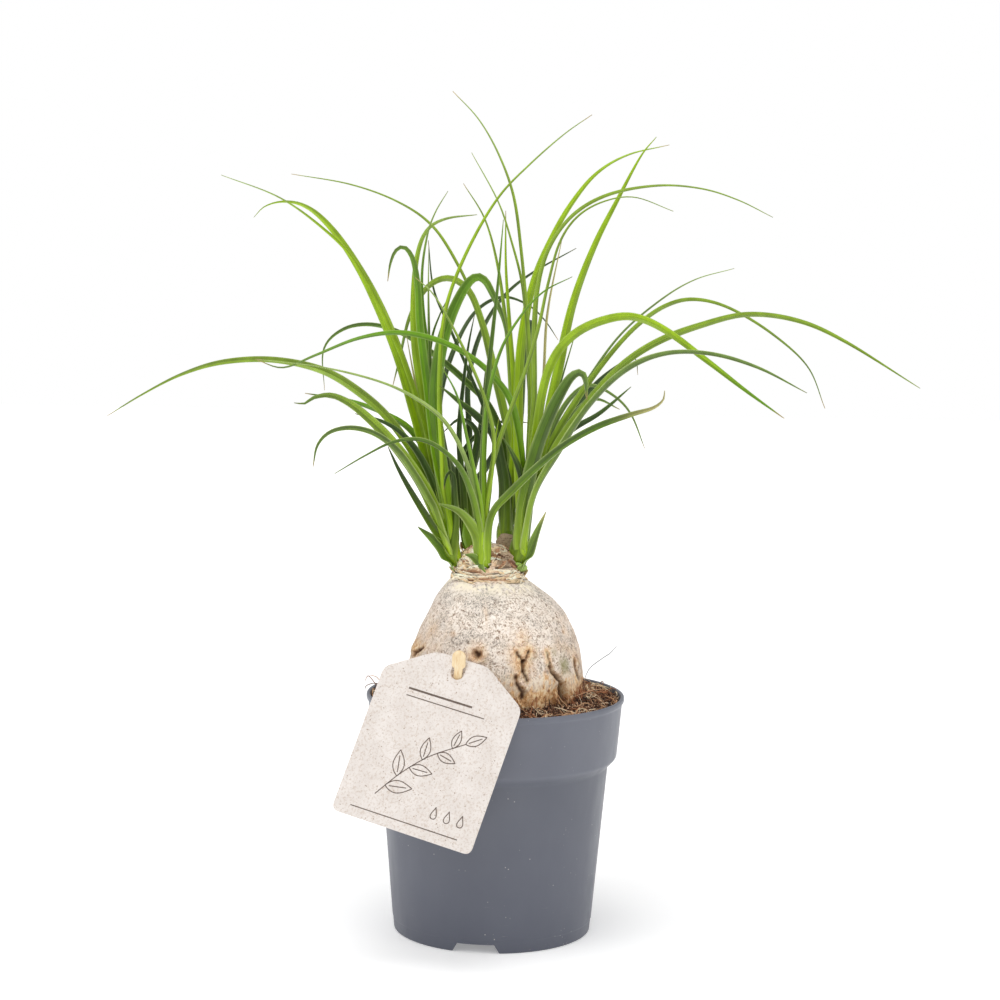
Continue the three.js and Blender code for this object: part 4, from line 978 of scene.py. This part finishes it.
def make_papers():
    rng = random.Random(31)
    stems = {name: stem_point(stem) for name, stem in STEMS.items()}
    around, front_left, front = (0, 360), (-80, -15), (-50, 50)
    neck_tones = ("tan", "tan", "cream", "cream", "brown")
    # Rings of dry strips: (skin, count, angles, heights, strip height, span, flare, tones).
    groups = [
        (neck_point, 120, around, (165, 176), (1.1, 2.4), (25, 90), 0.5, neck_tones),
        (neck_point, 40, around, (174, 180), (1.6, 3.2), (30, 100), 0.9, ("brown", "tan", "cream")),
        (neck_point, 14, front_left, (170, 179), (2.2, 4.2), (25, 60), 1.2, ("tan", "cream", "cream")),
        (neck_point, 12, (0, 55), (172, 179), (2.5, 5), (20, 45), 1.5, ("dusk", "brown", "pink")),
        (stems["back_right"], 4, front, (171, 173), (12, 15), (220, 320), 0.5, ("pink",)),
        (stems["back_right"], 6, around, (172, 176), (3, 5), (60, 150), 0.7, ("brown", "tan")),
        (stems["back_left"], 12, around, (172, 178), (2, 4), (40, 90), 0.7, ("tan", "cream", "brown")),
        (stems["left"], 5, around, (167, 170), (2, 4), (60, 120), 0.3, ("tan", "cream")),
        (stems["right"], 3, (-25, 5), (169.2, 170), (3.4, 4.6), (120, 160), 1.0, ("rim",)),
        (stems["right"], 5, around, (167, 169), (2, 3.4), (45, 90), 0.9, ("tan", "cream")),
        (stems["front"], 5, (90, 270), (166, 172), (2, 3.4), (60, 110), 0.4, ("tan", "brown")),
    ]
    points, faces, tones, first = [], [], [], 0
    for skin, count, angles, lows, talls, spans, flare, names in groups:
        for _ in range(count):
            low = rng.uniform(*lows)
            form = paper_strip(skin, rng, rng.uniform(*angles), rng.uniform(*spans), low,
                               low + rng.uniform(*talls), flare * rng.uniform(0.4, 1.3))
            columns, ring = form.shape[:2]
            points.append(form.reshape(-1, 3))
            faces += ring_faces(columns, ring, first)
            first += columns * ring
            tone = linear(PAPER_TONES[rng.choice(names)]) * rng.uniform(0.8, 1.1)
            # Painted shade and light: each strip darker at its rooted edge and lighter at its free one.
            edge = np.tile(np.concatenate([PAPER_SHADE, PAPER_SHADE[::-1]]), columns)
            tones.append(np.clip(edge[:, None] * tone, 0, 1))
    papers = make_piece("neck_papers", np.vstack(points), faces, paper_finish())
    put_color(papers.data, "paper_tone", np.vstack(tones))
    settle(papers, "bark")


# ---------- peat ----------
PEAT_EDGE = 57.4  # how far out the loose peat lies, just inside the pot's wall
PEAT_TONES = {"orange": (0.68, 0.45, 0.30), "tan": (0.84, 0.66, 0.50), "pale": (0.97, 0.88, 0.74),
              "brown": (0.46, 0.31, 0.22), "dark": (0.20, 0.14, 0.11)}
# Single fibres that stand out: tone, thickness, and a course of (right, up, depth).
STRAYS = [
    ("dark", 0.16, (40.6, 116, 40), (43.5, 123.5, 40), (49.8, 128.8, 42), (53, 131, 43), (56.2, 134.8, 44)),
    ("brown", 0.14, (34, 119, 36), (36.5, 124, 38), (38, 130.5, 40), (37.5, 137, 42)),
    ("orange", 0.2, (-54.5, 112, 8), (-57, 116, 4), (-59.5, 118.5, 2), (-61, 116, 0)),
    ("tan", 0.18, (-52, 111.5, 12), (-55, 117.5, 12), (-59, 119, 12)),
    ("brown", 0.2, (-50, 112, 2), (-55.5, 115, -3), (-60, 114, -6), (-61, 112, -6)),
    ("orange", 0.2, (49, 111, 10), (54, 114.5, 12), (57.5, 113, 14)),
    ("orange", 0.15, (33, 110, -30), (39, 112, -26), (46, 113, -20), (52, 112, -14)),
    ("tan", 0.14, (36, 110, -30), (41, 112, -24), (45, 113.5, -16), (51, 114, -8)),
]


def mouth_radius(angle):
    """The bulb's radius where it leaves the peat, at angles in degrees."""
    return bulb_skin(angle, SOIL["back"])


def peat_top(angle, radius):
    """Points on the peat's rough top: low at the front, mounded against the bulb."""
    x, y = from_axis(angle, radius)
    level = SOIL["front"] + (SOIL["back"] - SOIL["front"]) * (y + POT["rim"]) / (2 * POT["rim"])
    uneven = SOIL["bump"] * (np.sin(x / 5.1 + 1) * np.cos(y / 6.3) + np.sin((x - y) / 3.7))
    flat = np.stack([x, y, np.zeros_like(x)], -1)
    rough = 1.1 * grain(flat, 5.5, 5) + 0.7 * grain(flat, 2.1, 6)
    mound = SOIL["mound"] * bell((radius - mouth_radius(angle)) / SOIL["mound_wide"])
    inside = 0.4 + 0.6 * smooth(0, 4, PEAT_EDGE - radius)
    return np.stack([x, y, level + uneven + rough * inside + mound - 0.3], -1)


def make_soil():
    columns, rings, walls, gap = 288, 46, 24, SOIL["gap"]
    mouth_z, lowest, bottom = SOIL["pocket"]
    angle = np.linspace(0, 360, columns, endpoint=False)
    floor, shoulder, band = POT["floor_top"] + gap, POT["shoulder"][1], POT["band"][1] + 2.2
    rows = []
    # Under the peat and up the pot's wall: (height, height where the wall is measured, share of its radius).
    for z, wall_z, part in ((floor, floor, 0.5), (floor, floor, 1.0), (shoulder + 0.4, shoulder, 1.0),
                            (band, band, 1.0)):
        radius = part * (float(pot_radius(wall_z)) - POT["wall"] - gap)
        rows.append(bulb_at(angle, np.full(columns, z), radius))
    mouth = mouth_radius(angle) + gap
    wall = pot_radius(SOIL["back"]) - POT["wall"] - 2 * gap
    rows += [peat_top(angle, wall + (mouth - wall) * part) for part in np.linspace(0, 1, rings)]
    for z in np.linspace(mouth_z, lowest, walls)[1:]:
        rows.append(bulb_at(angle, np.full(columns, z), bulb_skin(angle, z) + gap))
    points = np.vstack([*rows, [(0, 0, floor), (0, 0, bottom)]])
    finish = grained_finish("damp_peat", 0.9, 1.4, (2.6, 6, 0.7), (0.34, (0.12, 0.075, 0.055)),
                            (0.5, (0.33, 0.22, 0.16)), (0.66, (0.56, 0.38, 0.27)),
                            relief=((0.9, 5, 0.7), 0.6))
    settle(make_piece("peat", points, lathe_faces(len(rows), columns), finish), "soil", "soil")


class Tree(Nodes):
    """A geometry-nodes tree with named inputs, which takes a mesh and gives another."""

    def __init__(self, name, **sizes):
        super().__init__(bpy.data.node_groups.new(name, "GeometryNodeTree"))
        self.sizes = sizes
        self.socket("Geometry", "INPUT", "Geometry")
        self.ids = {size: self.socket(size, "INPUT", "Int" if isinstance(value, int) else "Float")
                    for size, value in sizes.items()}
        self.socket("Geometry", "OUTPUT", "Geometry")
        self.start = self.tree.nodes.new("NodeGroupInput")

    def socket(self, name, way, kind):
        """Adds a socket to the tree and gives its identifier."""
        sockets = self.tree.interface
        return sockets.new_socket(name, in_out=way, socket_type=f"NodeSocket{kind}").identifier

    def size(self, name):
        return self.start.outputs[name]

    def finish(self, geometry, material):
        realized = self.node("GeometryNodeRealizeInstances", {"Geometry": geometry})
        coated = self.node("GeometryNodeSetMaterial", {"Geometry": realized, "Material": material})
        self.add("NodeGroupOutput", {"Geometry": coated})

    def grow(self, piece):
        """Runs the tree on a piece and leaves a plain mesh."""
        modifier = piece.modifiers.new(self.tree.name, "NODES")
        modifier.node_group = self.tree
        for size, value in self.sizes.items():
            modifier[self.ids[size]] = value
        return baked(piece)


def make_crumbs():
    columns, rings = 288, 30
    angle = np.linspace(0, 360, columns, endpoint=False)
    mouth, edge = mouth_radius(angle), PEAT_EDGE - 0.8
    rows = [peat_top(angle, edge + (mouth - edge) * part) for part in np.linspace(0, 1, rings)]
    finish = grained_finish("peat_crumbs", 0.9, 1.4, (0.9, 1), (0.38, (0.09, 0.06, 0.048)),
                            (0.5, (0.32, 0.215, 0.16)), (0.59, (0.56, 0.39, 0.29)),
                            (0.67, (0.97, 0.84, 0.70)))
    crumbs = make_piece("peat_crumbs", np.vstack(rows), ring_faces(rings, columns)[:-2], finish)
    tree = Tree("scatter_crumbs", density=1.5 / MM**2, smallest=0.25, largest=1.0, seed=5)
    spread = {"Mesh": tree.size("Geometry"), "Density": tree.size("density"), "Seed": tree.size("seed")}
    spots = tree.node("GeometryNodeDistributePointsOnFaces", spread)
    crumb = tree.node("GeometryNodeMeshIcoSphere", {"Radius": MM, "Subdivisions": 1})
    turn, form = (tree.node("FunctionNodeRandomValue", {"Min": low, "Max": high}, data_type="FLOAT_VECTOR")
                  for low, high in (((0, 0, 0), (6.3, 6.3, 6.3)), ((0.7, 0.5, 0.35), (1.3, 1, 0.8))))
    sizes = {2: tree.size("smallest"), 3: tree.size("largest"), "Seed": tree.size("seed")}
    size = tree.node("FunctionNodeRandomValue", sizes, output=1)
    scale = tree.node("ShaderNodeVectorMath", {0: form, "Scale": size}, operation="SCALE")
    placed = {"Points": spots, "Instance": crumb, "Rotation": turn, "Scale": scale}
    placed = tree.node("GeometryNodeInstanceOnPoints", placed)
    tree.finish(tree.node("GeometryNodeSetShadeSmooth", {"Geometry": placed, "Shade Smooth": False}), finish)
    settle(tree.grow(crumbs), "soil")


def clear_of_bulb(angle):
    """The least radius at which loose peat lies, at one angle."""
    return float(mouth_radius(np.array([angle]))[0]) + 0.4


def loose_fibre(rng):
    """A fibre that lies on the peat in a low arch."""
    angle = rng.uniform(0, 360)
    place = np.array(from_axis(angle, rng.uniform(clear_of_bulb(angle), PEAT_EDGE)))
    heading, bend = rng.uniform(0, 2 * math.pi), rng.uniform(-0.14, 0.14)
    steps, length, arch = 11, rng.uniform(4, 16), rng.uniform(0.2, 2.6)
    points = []
    for k in range(steps):
        angle = math.degrees(math.atan2(place[0], -place[1]))
        limit = np.clip(np.hypot(*place), clear_of_bulb(angle), PEAT_EDGE)
        place = place * limit / np.hypot(*place)
        ground = peat_top(np.array([angle]), np.array([limit]))[0]
        points.append(ground + (0, 0, 0.25 + arch * math.sin(math.pi * k / (steps - 1))))
        heading += bend * length / steps + rng.uniform(-0.22, 0.22)
        place = place + length / (steps - 1) * np.array([math.cos(heading), math.sin(heading)])
    return np.array(points)


def rootlet(rng):
    """A short dry root from a toe's lower edge, out and down into the peat."""
    angle = rng.choice((rng.gauss(66, 10), rng.gauss(66, 10), rng.uniform(-40, 110)))
    height, drift, lift = rng.uniform(113, 118.5), rng.uniform(-9, 9), rng.uniform(0.6, 2.8)
    course = []
    for part in np.linspace(0, 1, 7):
        turn = np.array([angle + drift * part**1.5 + rng.uniform(-0.5, 0.5)])
        z = height - 7.5 * part**1.3
        radius = bulb_skin(turn, z) + 0.25 + lift * math.sin(math.pi * part * 0.6) ** 2
        x, y = from_axis(turn, radius)
        course.append((x[0], y[0], z))
    return np.array(course)


def make_fibres():
    rng = random.Random(47)
    names = list(PEAT_TONES)
    lines = []
    # Kinds of fibre: (count, weights of the tones, thickness, how one is made).
    kinds = [(600, (4, 5, 4, 4, 3), (0.1, 0.26), loose_fibre), (90, (6, 4, 1, 6, 1), (0.12, 0.26), rootlet)]
    for count, weights, thicknesses, make_course in kinds:
        for _ in range(count):
            tone = rng.choices(names, weights)[0]
            lines.append((tone, rng.uniform(*thicknesses), make_course(rng)))
    lines += [(tone, thick, curve_through([from_elevation(*stop) for stop in course], 14))
              for tone, thick, *course in STRAYS]
    points, edges, tones, sizes = [], [], [], []
    for tone, thick, line in lines:
        first = len(points)
        points += (line * MM).tolist()
        edges += [(first + k, first + k + 1) for k in range(len(line) - 1)]
        sizes += (thick * (1 - 0.6 * np.abs(np.linspace(-1, 1, len(line))) ** 3)).tolist()
        tones += [linear(PEAT_TONES[tone]) * rng.uniform(0.8, 1.15)] * len(line)
    mesh = bpy.data.meshes.new("coir_fibres")
    mesh.from_pydata(points, edges, [])
    put_color(mesh, "fibre_tone", np.clip(np.array(tones), 0, 1))
    mesh.attributes.new("thickness", "FLOAT", "POINT").data.foreach_set("value", sizes)
    finish = Finish("coir_fibre", roughness=0.7, ior=1.45)
    finish.link(finish.attribute("fibre_tone"))
    tree = Tree("sweep_fibres", radius=MM, sides=5)
    spine = tree.node("GeometryNodeMeshToCurve", {"Mesh": tree.size("Geometry")})
    ring = {"Resolution": tree.size("sides"), "Radius": tree.size("radius")}
    ring = tree.node("GeometryNodeCurvePrimitiveCircle", ring)
    thick = tree.node("GeometryNodeInputNamedAttribute", {"Name": "thickness"})
    sweep = {"Curve": spine, "Profile Curve": ring, "Scale": thick, "Fill Caps": True}
    tree.finish(tree.node("GeometryNodeCurveToMesh", sweep), finish.material)
    settle(tree.grow(in_scene("coir_fibres", mesh)), "soil")


# ---------- leaves ----------
STEM_SIDES = 20
STEM_SHARES = [0.15, 0.3, 0.55, 0.7, 0.45, 0.15]  # of the collar's radius, from the foot to the throat
SOCKET_SHARES = [0.4, 0.65, 0.92, 0.97, 0.84, 0.6]
SOCKET_GAP = 0.3


def stem_points(stem):
    """The foot, collar and throat of a shoot's stem, in space."""
    return [from_elevation(*stem[k]) for k in ("foot", "collar", "throat")]


def stem_rings(stem, shares, grown=0.0):
    """Rings of points along a shoot's round stem, grown by a gap for the socket that holds it."""
    foot, collar, throat = stem_points(stem)
    foot = foot + grown * (foot - collar) / np.linalg.norm(foot - collar)
    line = curve_through([foot, collar, throat], len(shares))
    points = []
    side = np.array([1.0, 0, 0])
    for middle, ahead, share in zip(line, np.gradient(line, axis=0), shares):
        ahead = ahead / np.linalg.norm(ahead)
        side = squared(side, ahead)
        across = np.cross(ahead, side)
        for k in range(STEM_SIDES):
            turn = 2 * math.pi * k / STEM_SIDES
            out = math.cos(turn) * side + math.sin(turn) * across
            points.append(middle + (share * stem["radius"] + grown) * out)
    return points


# A blade: a row's length, how far its base clasps the stem, its fold in degrees at the base and how much
# less at the tip, its keel's roundness, its edge, and its thickness, far out and more at the base.
BLADE = {"row": 2.4, "clasp": 17, "fold": 34, "unfold": 16, "keel": 0.16, "edge": 0.16, "thick": 0.32,
         "thick_base": 0.715, "base": 25}
ONE_WAY = np.array([-1, -0.88, -0.65, -0.35, -0.08, 0, 0.08, 0.35, 0.65, 0.88, 1])
ACROSS = np.concatenate([ONE_WAY, ONE_WAY[-2:0:-1]])
UPPER = np.concatenate([np.ones(11), -np.ones(9)]) * np.where(np.abs(ACROSS) == 1, 0, 1)


def leaf_line(stem, shape, layer):
    """The leaf's middle line in space, the way that it leans out, and how far out its base hugs the stem.

    The layer is 1 for the outermost leaf of a shoot and nearly 0 for the innermost.
    """
    foot, collar = np.array(stem["foot"]), np.array(stem["collar"])
    drawn = np.array([collar[:2], *shape["course"]], float)
    run = np.concatenate([[0], np.cumsum(np.hypot(*np.diff(drawn, axis=0).T))])
    depth = collar[2] + (shape["reach"] - collar[2]) * (run / run[-1]) ** 1.3
    points = np.array([from_elevation(*p, d) for p, d in zip(drawn, depth)])
    out = points[1:].mean(axis=0) - points[0]
    out[2] = 0
    out /= np.linalg.norm(out)
    hug = (0.58 + 0.4 * layer) * stem["radius"] * out
    low = from_elevation(*(foot + (collar - foot) * (0.85 - 0.35 * layer)))
    if shape["low"]:
        points = np.vstack([from_elevation(*shape["low"]), points[1:]])
    else:
        points = np.vstack([low + 0.5 * hug, points[0] + 0.9 * hug, points[1:]])
    return curve_through(points, 60 * len(points)), out, hug


def face_front(along, side, before):
    """The sideways direction of a blade that shows its whole face to the front, near the last one."""
    across = np.cross(along, (0, 1, 0))
    reach = np.linalg.norm(across)
    if reach < 0.2:
        return side if before is None else before
    across /= reach
    if before is None:
        return -across if across.dot(side) < -0.5 else across
    return -across if across.dot(before) < 0 else across


def blade_frame(along, out, shown, twist):
    """The sideways direction and the face of a blade in each of its rows."""
    side = np.array([-out[1], out[0], 0])
    facing = None
    sides, faces = [], []
    for ahead, share, roll in zip(along, shown, twist):
        side = squared(side, ahead)
        facing = face_front(ahead, side, facing)
        turned = squared((1 - share) * side + share * facing, ahead)
        face = np.cross(ahead, turned)
        sides.append(math.cos(roll) * turned + math.sin(roll) * face)
        faces.append(math.cos(roll) * face - math.sin(roll) * turned)
    return np.array(sides)[:, None, :], np.array(faces)[:, None, :]


def leaf_tones(shape, share, far, rng):
    """A leaf's colours, from its yellow-green base to its dry tip, with painted shade on one half of its
    fold.
    """
    t, share, far = ACROSS[None, :, None], share[:, None, None], far[:, None, None]
    amount, reach = YELLOWING[shape["fresh"]]
    amount *= 0.15 if shape["low"] else 1
    tone = blend(linear(TONES[shape["fresh"]]), linear(TONES[shape["tip"]]), smooth(0.72, 0.97, share))
    tone = blend(tone, linear(BASE_TONE), amount * np.exp(-((far / reach) ** 1.5)))
    # Painted shade: one half of the blade's fold darker, a random half, from near its base on.
    shaded_half = smooth(-0.1, 0.1, rng.choice((-1, 1)) * t) * smooth(0.05, 0.2, share)
    tone = tone * (1 - 0.34 * shaded_half)
    margin = smooth(0.8, 1.0, np.abs(t)) * PALE_EDGE.get(shape["fresh"], 0.4)
    tone = blend(tone, linear(MARGIN_TONE), margin)
    tone = blend(tone, linear(TIP_TONE), smooth(0.965, 0.995, share) * rng.choice((0.2, 0.9)))
    return tone * np.where(UPPER[None, :, None] < 0, 0.92, 1.0)


def leaf_form(stem, shape, layer, rng):
    """Points, colours and distances along one leaf, as rows of closed rings."""
    line, out, hug = leaf_line(stem, shape, layer)
    length = float(np.linalg.norm(np.diff(line, axis=0), axis=1).sum())
    rows = int(np.clip(length / BLADE["row"], 26, 110))
    line, length = even_steps(line, rows)
    share = np.linspace(0, 1, rows)
    far = share * length
    twist = np.sin(share * rng.uniform(2.5, 5.5)) * smooth(0.1, 0.5, share)
    twist = twist * math.radians(rng.uniform(-16, 16))
    shown = shape["shown"] * smooth(0.03, 0.3, share)
    sides, faces = blade_frame(unit(np.gradient(line, axis=0)), out, shown, twist)

    clasp = bell(far / BLADE["clasp"])[:, None]
    narrowing = (1 - share ** shape["taper"]) ** 0.9
    half = shape["wide"] / 2 * (0.78 + 0.22 * np.minimum(1, share / 0.12)) * narrowing
    wider = 0.25 if shape["low"] else 0.85
    half = half * (1 + wider * clasp[:, 0]) * (0.1 + 0.9 * smooth(-1, 11, far))
    half = (half + BLADE["edge"])[:, None]
    fold = np.radians(BLADE["fold"] - BLADE["unfold"] * share)[:, None]
    wrap = np.minimum(half / np.linalg.norm(hug), 2.2)
    t, keel = ACROSS[None, :], BLADE["keel"]
    rise = np.sqrt(t**2 + keel**2) - keel
    x = half * (clasp * np.sin(wrap * t) / wrap + (1 - clasp) * np.cos(fold) * t)
    y = half * (clasp * (1 - np.cos(wrap * t)) / wrap + (1 - clasp) * np.sin(fold) * rise)
    body = (BLADE["thick"] + BLADE["thick_base"] * np.exp(-far / BLADE["base"]))[:, None]
    body = body * (1 - 0.72 * np.abs(t) ** 1.5)
    y = y + 0.5 * body * UPPER[None, :] * np.minimum(1, half / 1.5)
    waves = np.sin(far / rng.uniform(7, 12) + rng.uniform(0, 6)) * smooth(0.1, 0.4, share)
    y = y + (0.35 * waves)[:, None] * np.sign(t) * np.abs(t) ** 2 * np.minimum(1, half / 3)
    points = line[:, None, :] + sides * x[..., None] + faces * y[..., None]
    return points, leaf_tones(shape, share, far, rng), far


def make_shoot(name, slot, finish, seed):
    stem = STEMS[name]
    rng = random.Random(seed)
    points = [np.array(stem_rings(stem, STEM_SHARES))]
    faces = ring_faces(len(STEM_SHARES), STEM_SIDES)
    first = len(points[0])
    colors = [np.tile(linear(STEM_TONE), (first, 1))]
    places = [np.zeros((first, 2))]
    outer_first = sorted(LEAVES[name], key=lambda shape: shape["course"][0][1])
    for rank, shape in enumerate(outer_first):
        form, tone, far = leaf_form(stem, shape, 1 - rank / len(outer_first), rng)
        rows, count = form.shape[:2]
        points.append(form.reshape(-1, 3))
        colors.append(tone.reshape(-1, 3))
        across = np.tile(ACROSS / 2 + 0.5, rows)
        places.append(np.column_stack([across + rng.random() * 7, np.repeat(far / 10, count)]))
        faces += ring_faces(rows, count, first)
        first += rows * count
    shoot = make_piece(f"leaves_{name}", np.vstack(points), faces, finish)
    put_color(shoot.data, "leaf_tone", np.vstack(colors))
    leaf_map = shoot.data.uv_layers.new(name="leaf_map")
    corner = np.zeros(len(shoot.data.loops), int)
    shoot.data.loops.foreach_get("vertex_index", corner)
    leaf_map.data.foreach_set("uv", np.vstack(places)[corner].ravel())
    settle(shoot, slot, f"shoot_{name}")


# ---------- label and stake ----------
def rounded_polygon(corners, radius):
    corners = [Vector(corner) for corner in corners]
    threes = zip(corners[-1:] + corners[:-1], corners, corners[1:] + corners[:1])
    return [point for three in threes for point in rounded_corner(*three, radius, 6)]


def flat_solid(name, loops, thick, bevel, place, material):
    """A plate from closed outlines, the first around the others, centred on its own plane."""
    shape = bpy.data.curves.new(name, "CURVE")
    shape.dimensions = "2D"
    shape.fill_mode = "BOTH"
    shape.extrude = (thick / 2 - bevel) * MM
    shape.bevel_depth = bevel * MM
    shape.bevel_resolution = 2
    shape.offset = -bevel * MM
    for loop in loops:
        line = shape.splines.new("POLY")
        line.points.add(len(loop) - 1)
        for point, (x, y) in zip(line.points, loop):
            point.co = (x * MM, y * MM, 0, 1)
        line.use_cyclic_u = True
    holder = in_scene(name, shape)
    mesh = plain_mesh(holder)
    bpy.data.objects.remove(holder)
    turn_outwards(mesh, merged=0.001)
    mesh.transform(place)
    mesh.materials.append(material)
    shade(mesh, SHARP)
    return in_scene(name, mesh)


def label_place(lean, tilt, ahead=0.0):
    """The matrix of a plane through the label's hole, leaned back and tilted in its own plane."""
    base = Matrix.Translation(Vector([LABEL_POSE[k] for k in "xyz"]) * MM)
    turn = Matrix.Rotation(math.radians(LABEL_POSE["turn"]), 4, "Z")
    step = Matrix.Translation((0, -ahead * MM, 0))
    upright = Matrix.Rotation(math.radians(lean), 4, "X")
    return base @ turn @ step @ upright @ Matrix.Rotation(-math.radians(tilt), 4, "Z")


def card_place():
    return label_place(90 - LABEL_POSE["lean"], LABEL_POSE["tilt"])


def make_label():
    top = LABEL_HOLE["below"]
    wide, narrow = LABEL["width"] / 2, LABEL["top_width"] / 2
    low, chamfer = top - LABEL["height"], top - LABEL["chamfer"]
    corners = [(-narrow, top), (-wide, chamfer), (-wide, low), (wide, low), (wide, chamfer), (narrow, top)]
    straight = (LABEL_HOLE["high"] - LABEL_HOLE["wide"]) / 2
    circle = round_outline(LABEL_HOLE["wide"] / 2, 2 * math.pi, 48, endpoint=False)
    hole = [(x, y + (straight if i < len(circle) / 2 else -straight)) for i, (x, y) in enumerate(circle)]
    place = card_place() @ Matrix.Translation((0, 0, LABEL["thick"] / 2 * MM))
    loops = [rounded_polygon(corners, LABEL["corner"]), hole]
    card = flat_solid("card", loops, LABEL["thick"], LABEL["edge"], place, card_finish())
    settle(card, "card", "label_card")


# The card's printed figure, in the card's own plane (right, up) from the middle of its hole.
SPRIG = [(-17, -64), (-9, -52), (1, -41), (15, -31)]
SPRIG_LEAF = {"length": 12.5, "width": 5.6, "lean": 48, "at": (8, 17, 26, 35, 44, 52)}
RULES = [(0.9, (-19, -14.5), (12, -14.5)), (0.45, (-19, -17.8), (19, -17.8)), (0.45, (-26, -72), (26, -72))]
DROPS = {"first": (12, -64), "apart": 6.4, "count": 3, "size": 2.1}
INK = {"line": 0.42, "sunk": 0.04, "proud": 0.05}


def almond(root, heading, length, width):
    """The outline of a pointed leaf, and its midrib."""
    part = np.linspace(0, 1, 15)
    ahead = np.array([math.cos(heading), math.sin(heading)])
    side = np.array([-ahead[1], ahead[0]])
    middle = np.array(root) + length * part[:, None] * ahead
    swell = (width / 2 * np.sin(math.pi * part**0.85))[:, None] * side
    return [np.vstack([middle + swell, (middle - swell)[::-1]]), middle[2:12]]


def printed_lines():
    """The figure's strokes, each a width and a course."""
    stem = curve_through([(*p, 0) for p in SPRIG], 60)[:, :2]
    length, width = SPRIG_LEAF["length"], SPRIG_LEAF["width"]
    lines = [stem]
    for k, at in enumerate(SPRIG_LEAF["at"]):
        heading = math.atan2(*(stem[at + 1] - stem[at])[::-1])
        lean = math.radians(SPRIG_LEAF["lean"]) * (1 if k % 2 else -1)
        smaller = 1 - 0.06 * k
        lines += almond(stem[at], heading + lean, length * smaller, width * smaller)
    heading = math.atan2(*(stem[-1] - stem[-2])[::-1])
    lines += almond(stem[-1], heading, 0.8 * length, 0.8 * width)
    turn, size = np.linspace(-math.pi, math.pi, 25), DROPS["size"]
    for k in range(DROPS["count"]):
        x = size * np.sin(turn) * np.cos(turn / 2) ** 2 + DROPS["first"][0] + k * DROPS["apart"]
        y = -1.3 * size * np.cos(turn) + DROPS["first"][1]
        lines.append(np.column_stack([x, y]))
    strokes = [(width, np.array(ends, float)) for width, *ends in RULES]
    return strokes + [(INK["line"], line) for line in lines]


def make_print():
    low, high = LABEL["thick"] - INK["sunk"], LABEL["thick"] + INK["proud"]
    points, faces = [], []
    for width, course in printed_lines():
        ahead = unit(np.gradient(course, axis=0))
        side = np.column_stack([-ahead[:, 1], ahead[:, 0]]) * width / 2
        faces += ring_faces(len(course), 4, len(points))
        for (x, y), (right, up) in zip(course, side):
            points += [(x - right, y - up, low), (x + right, y + up, low),
                       (x + right, y + up, high), (x - right, y - up, high)]
    finish = grained_finish("brown_ink", 0.8, 1.4, (0.8, 3), (0.35, (0.36, 0.31, 0.28)),
                            (0.75, (0.5, 0.44, 0.4)))
    figure = make_piece("card_print", points, faces, finish, SHARP)
    figure.data.transform(card_place())
    settle(figure, "card")


def make_stake():
    head, neck = STAKE["head"] / 2, STAKE["neck"] / 2
    top, neck_top, bottom = (STAKE[k] - LABEL_POSE["z"] for k in ("top", "neck_top", "bottom"))
    tip = bottom + STAKE["tip"]
    crown = [(x, top - head + y) for x, y in round_outline(head, math.pi, 24)]
    outline = [(0, bottom), (neck, tip), (neck, neck_top), (head, neck_top + 1), *crown,
               (-head, neck_top + 1), (-neck, neck_top), (-neck, tip)]
    grains = ((0.6, 0.6, 14), 4, 0.6)
    finish = grained_finish("raw_stake_wood", 0.7, 1.45, grains, (0.3, (0.86, 0.71, 0.50)),
                            (0.5, (0.94, 0.84, 0.67)), (0.75, (0.97, 0.91, 0.79)), relief=(grains, 0.08))
    place = label_place(90 + STAKE["lean"], STAKE["tilt"], STAKE["ahead"])
    stake = flat_solid("stake", [outline], STAKE["thick"], STAKE["edge"], place, finish)
    settle(stake, "stake_wood", "label_stake")


make_camera()
make_studio()
make_pot()
make_soil()
make_crumbs()
make_bulb()
make_fibres()
make_papers()
leaf_green = leaf_finish()
for seed, (shoot_name, leaf_slot) in enumerate(LEAF_SLOTS.items(), 11):
    make_shoot(shoot_name, leaf_slot, leaf_green, seed)
make_label()
make_print()
make_stake()
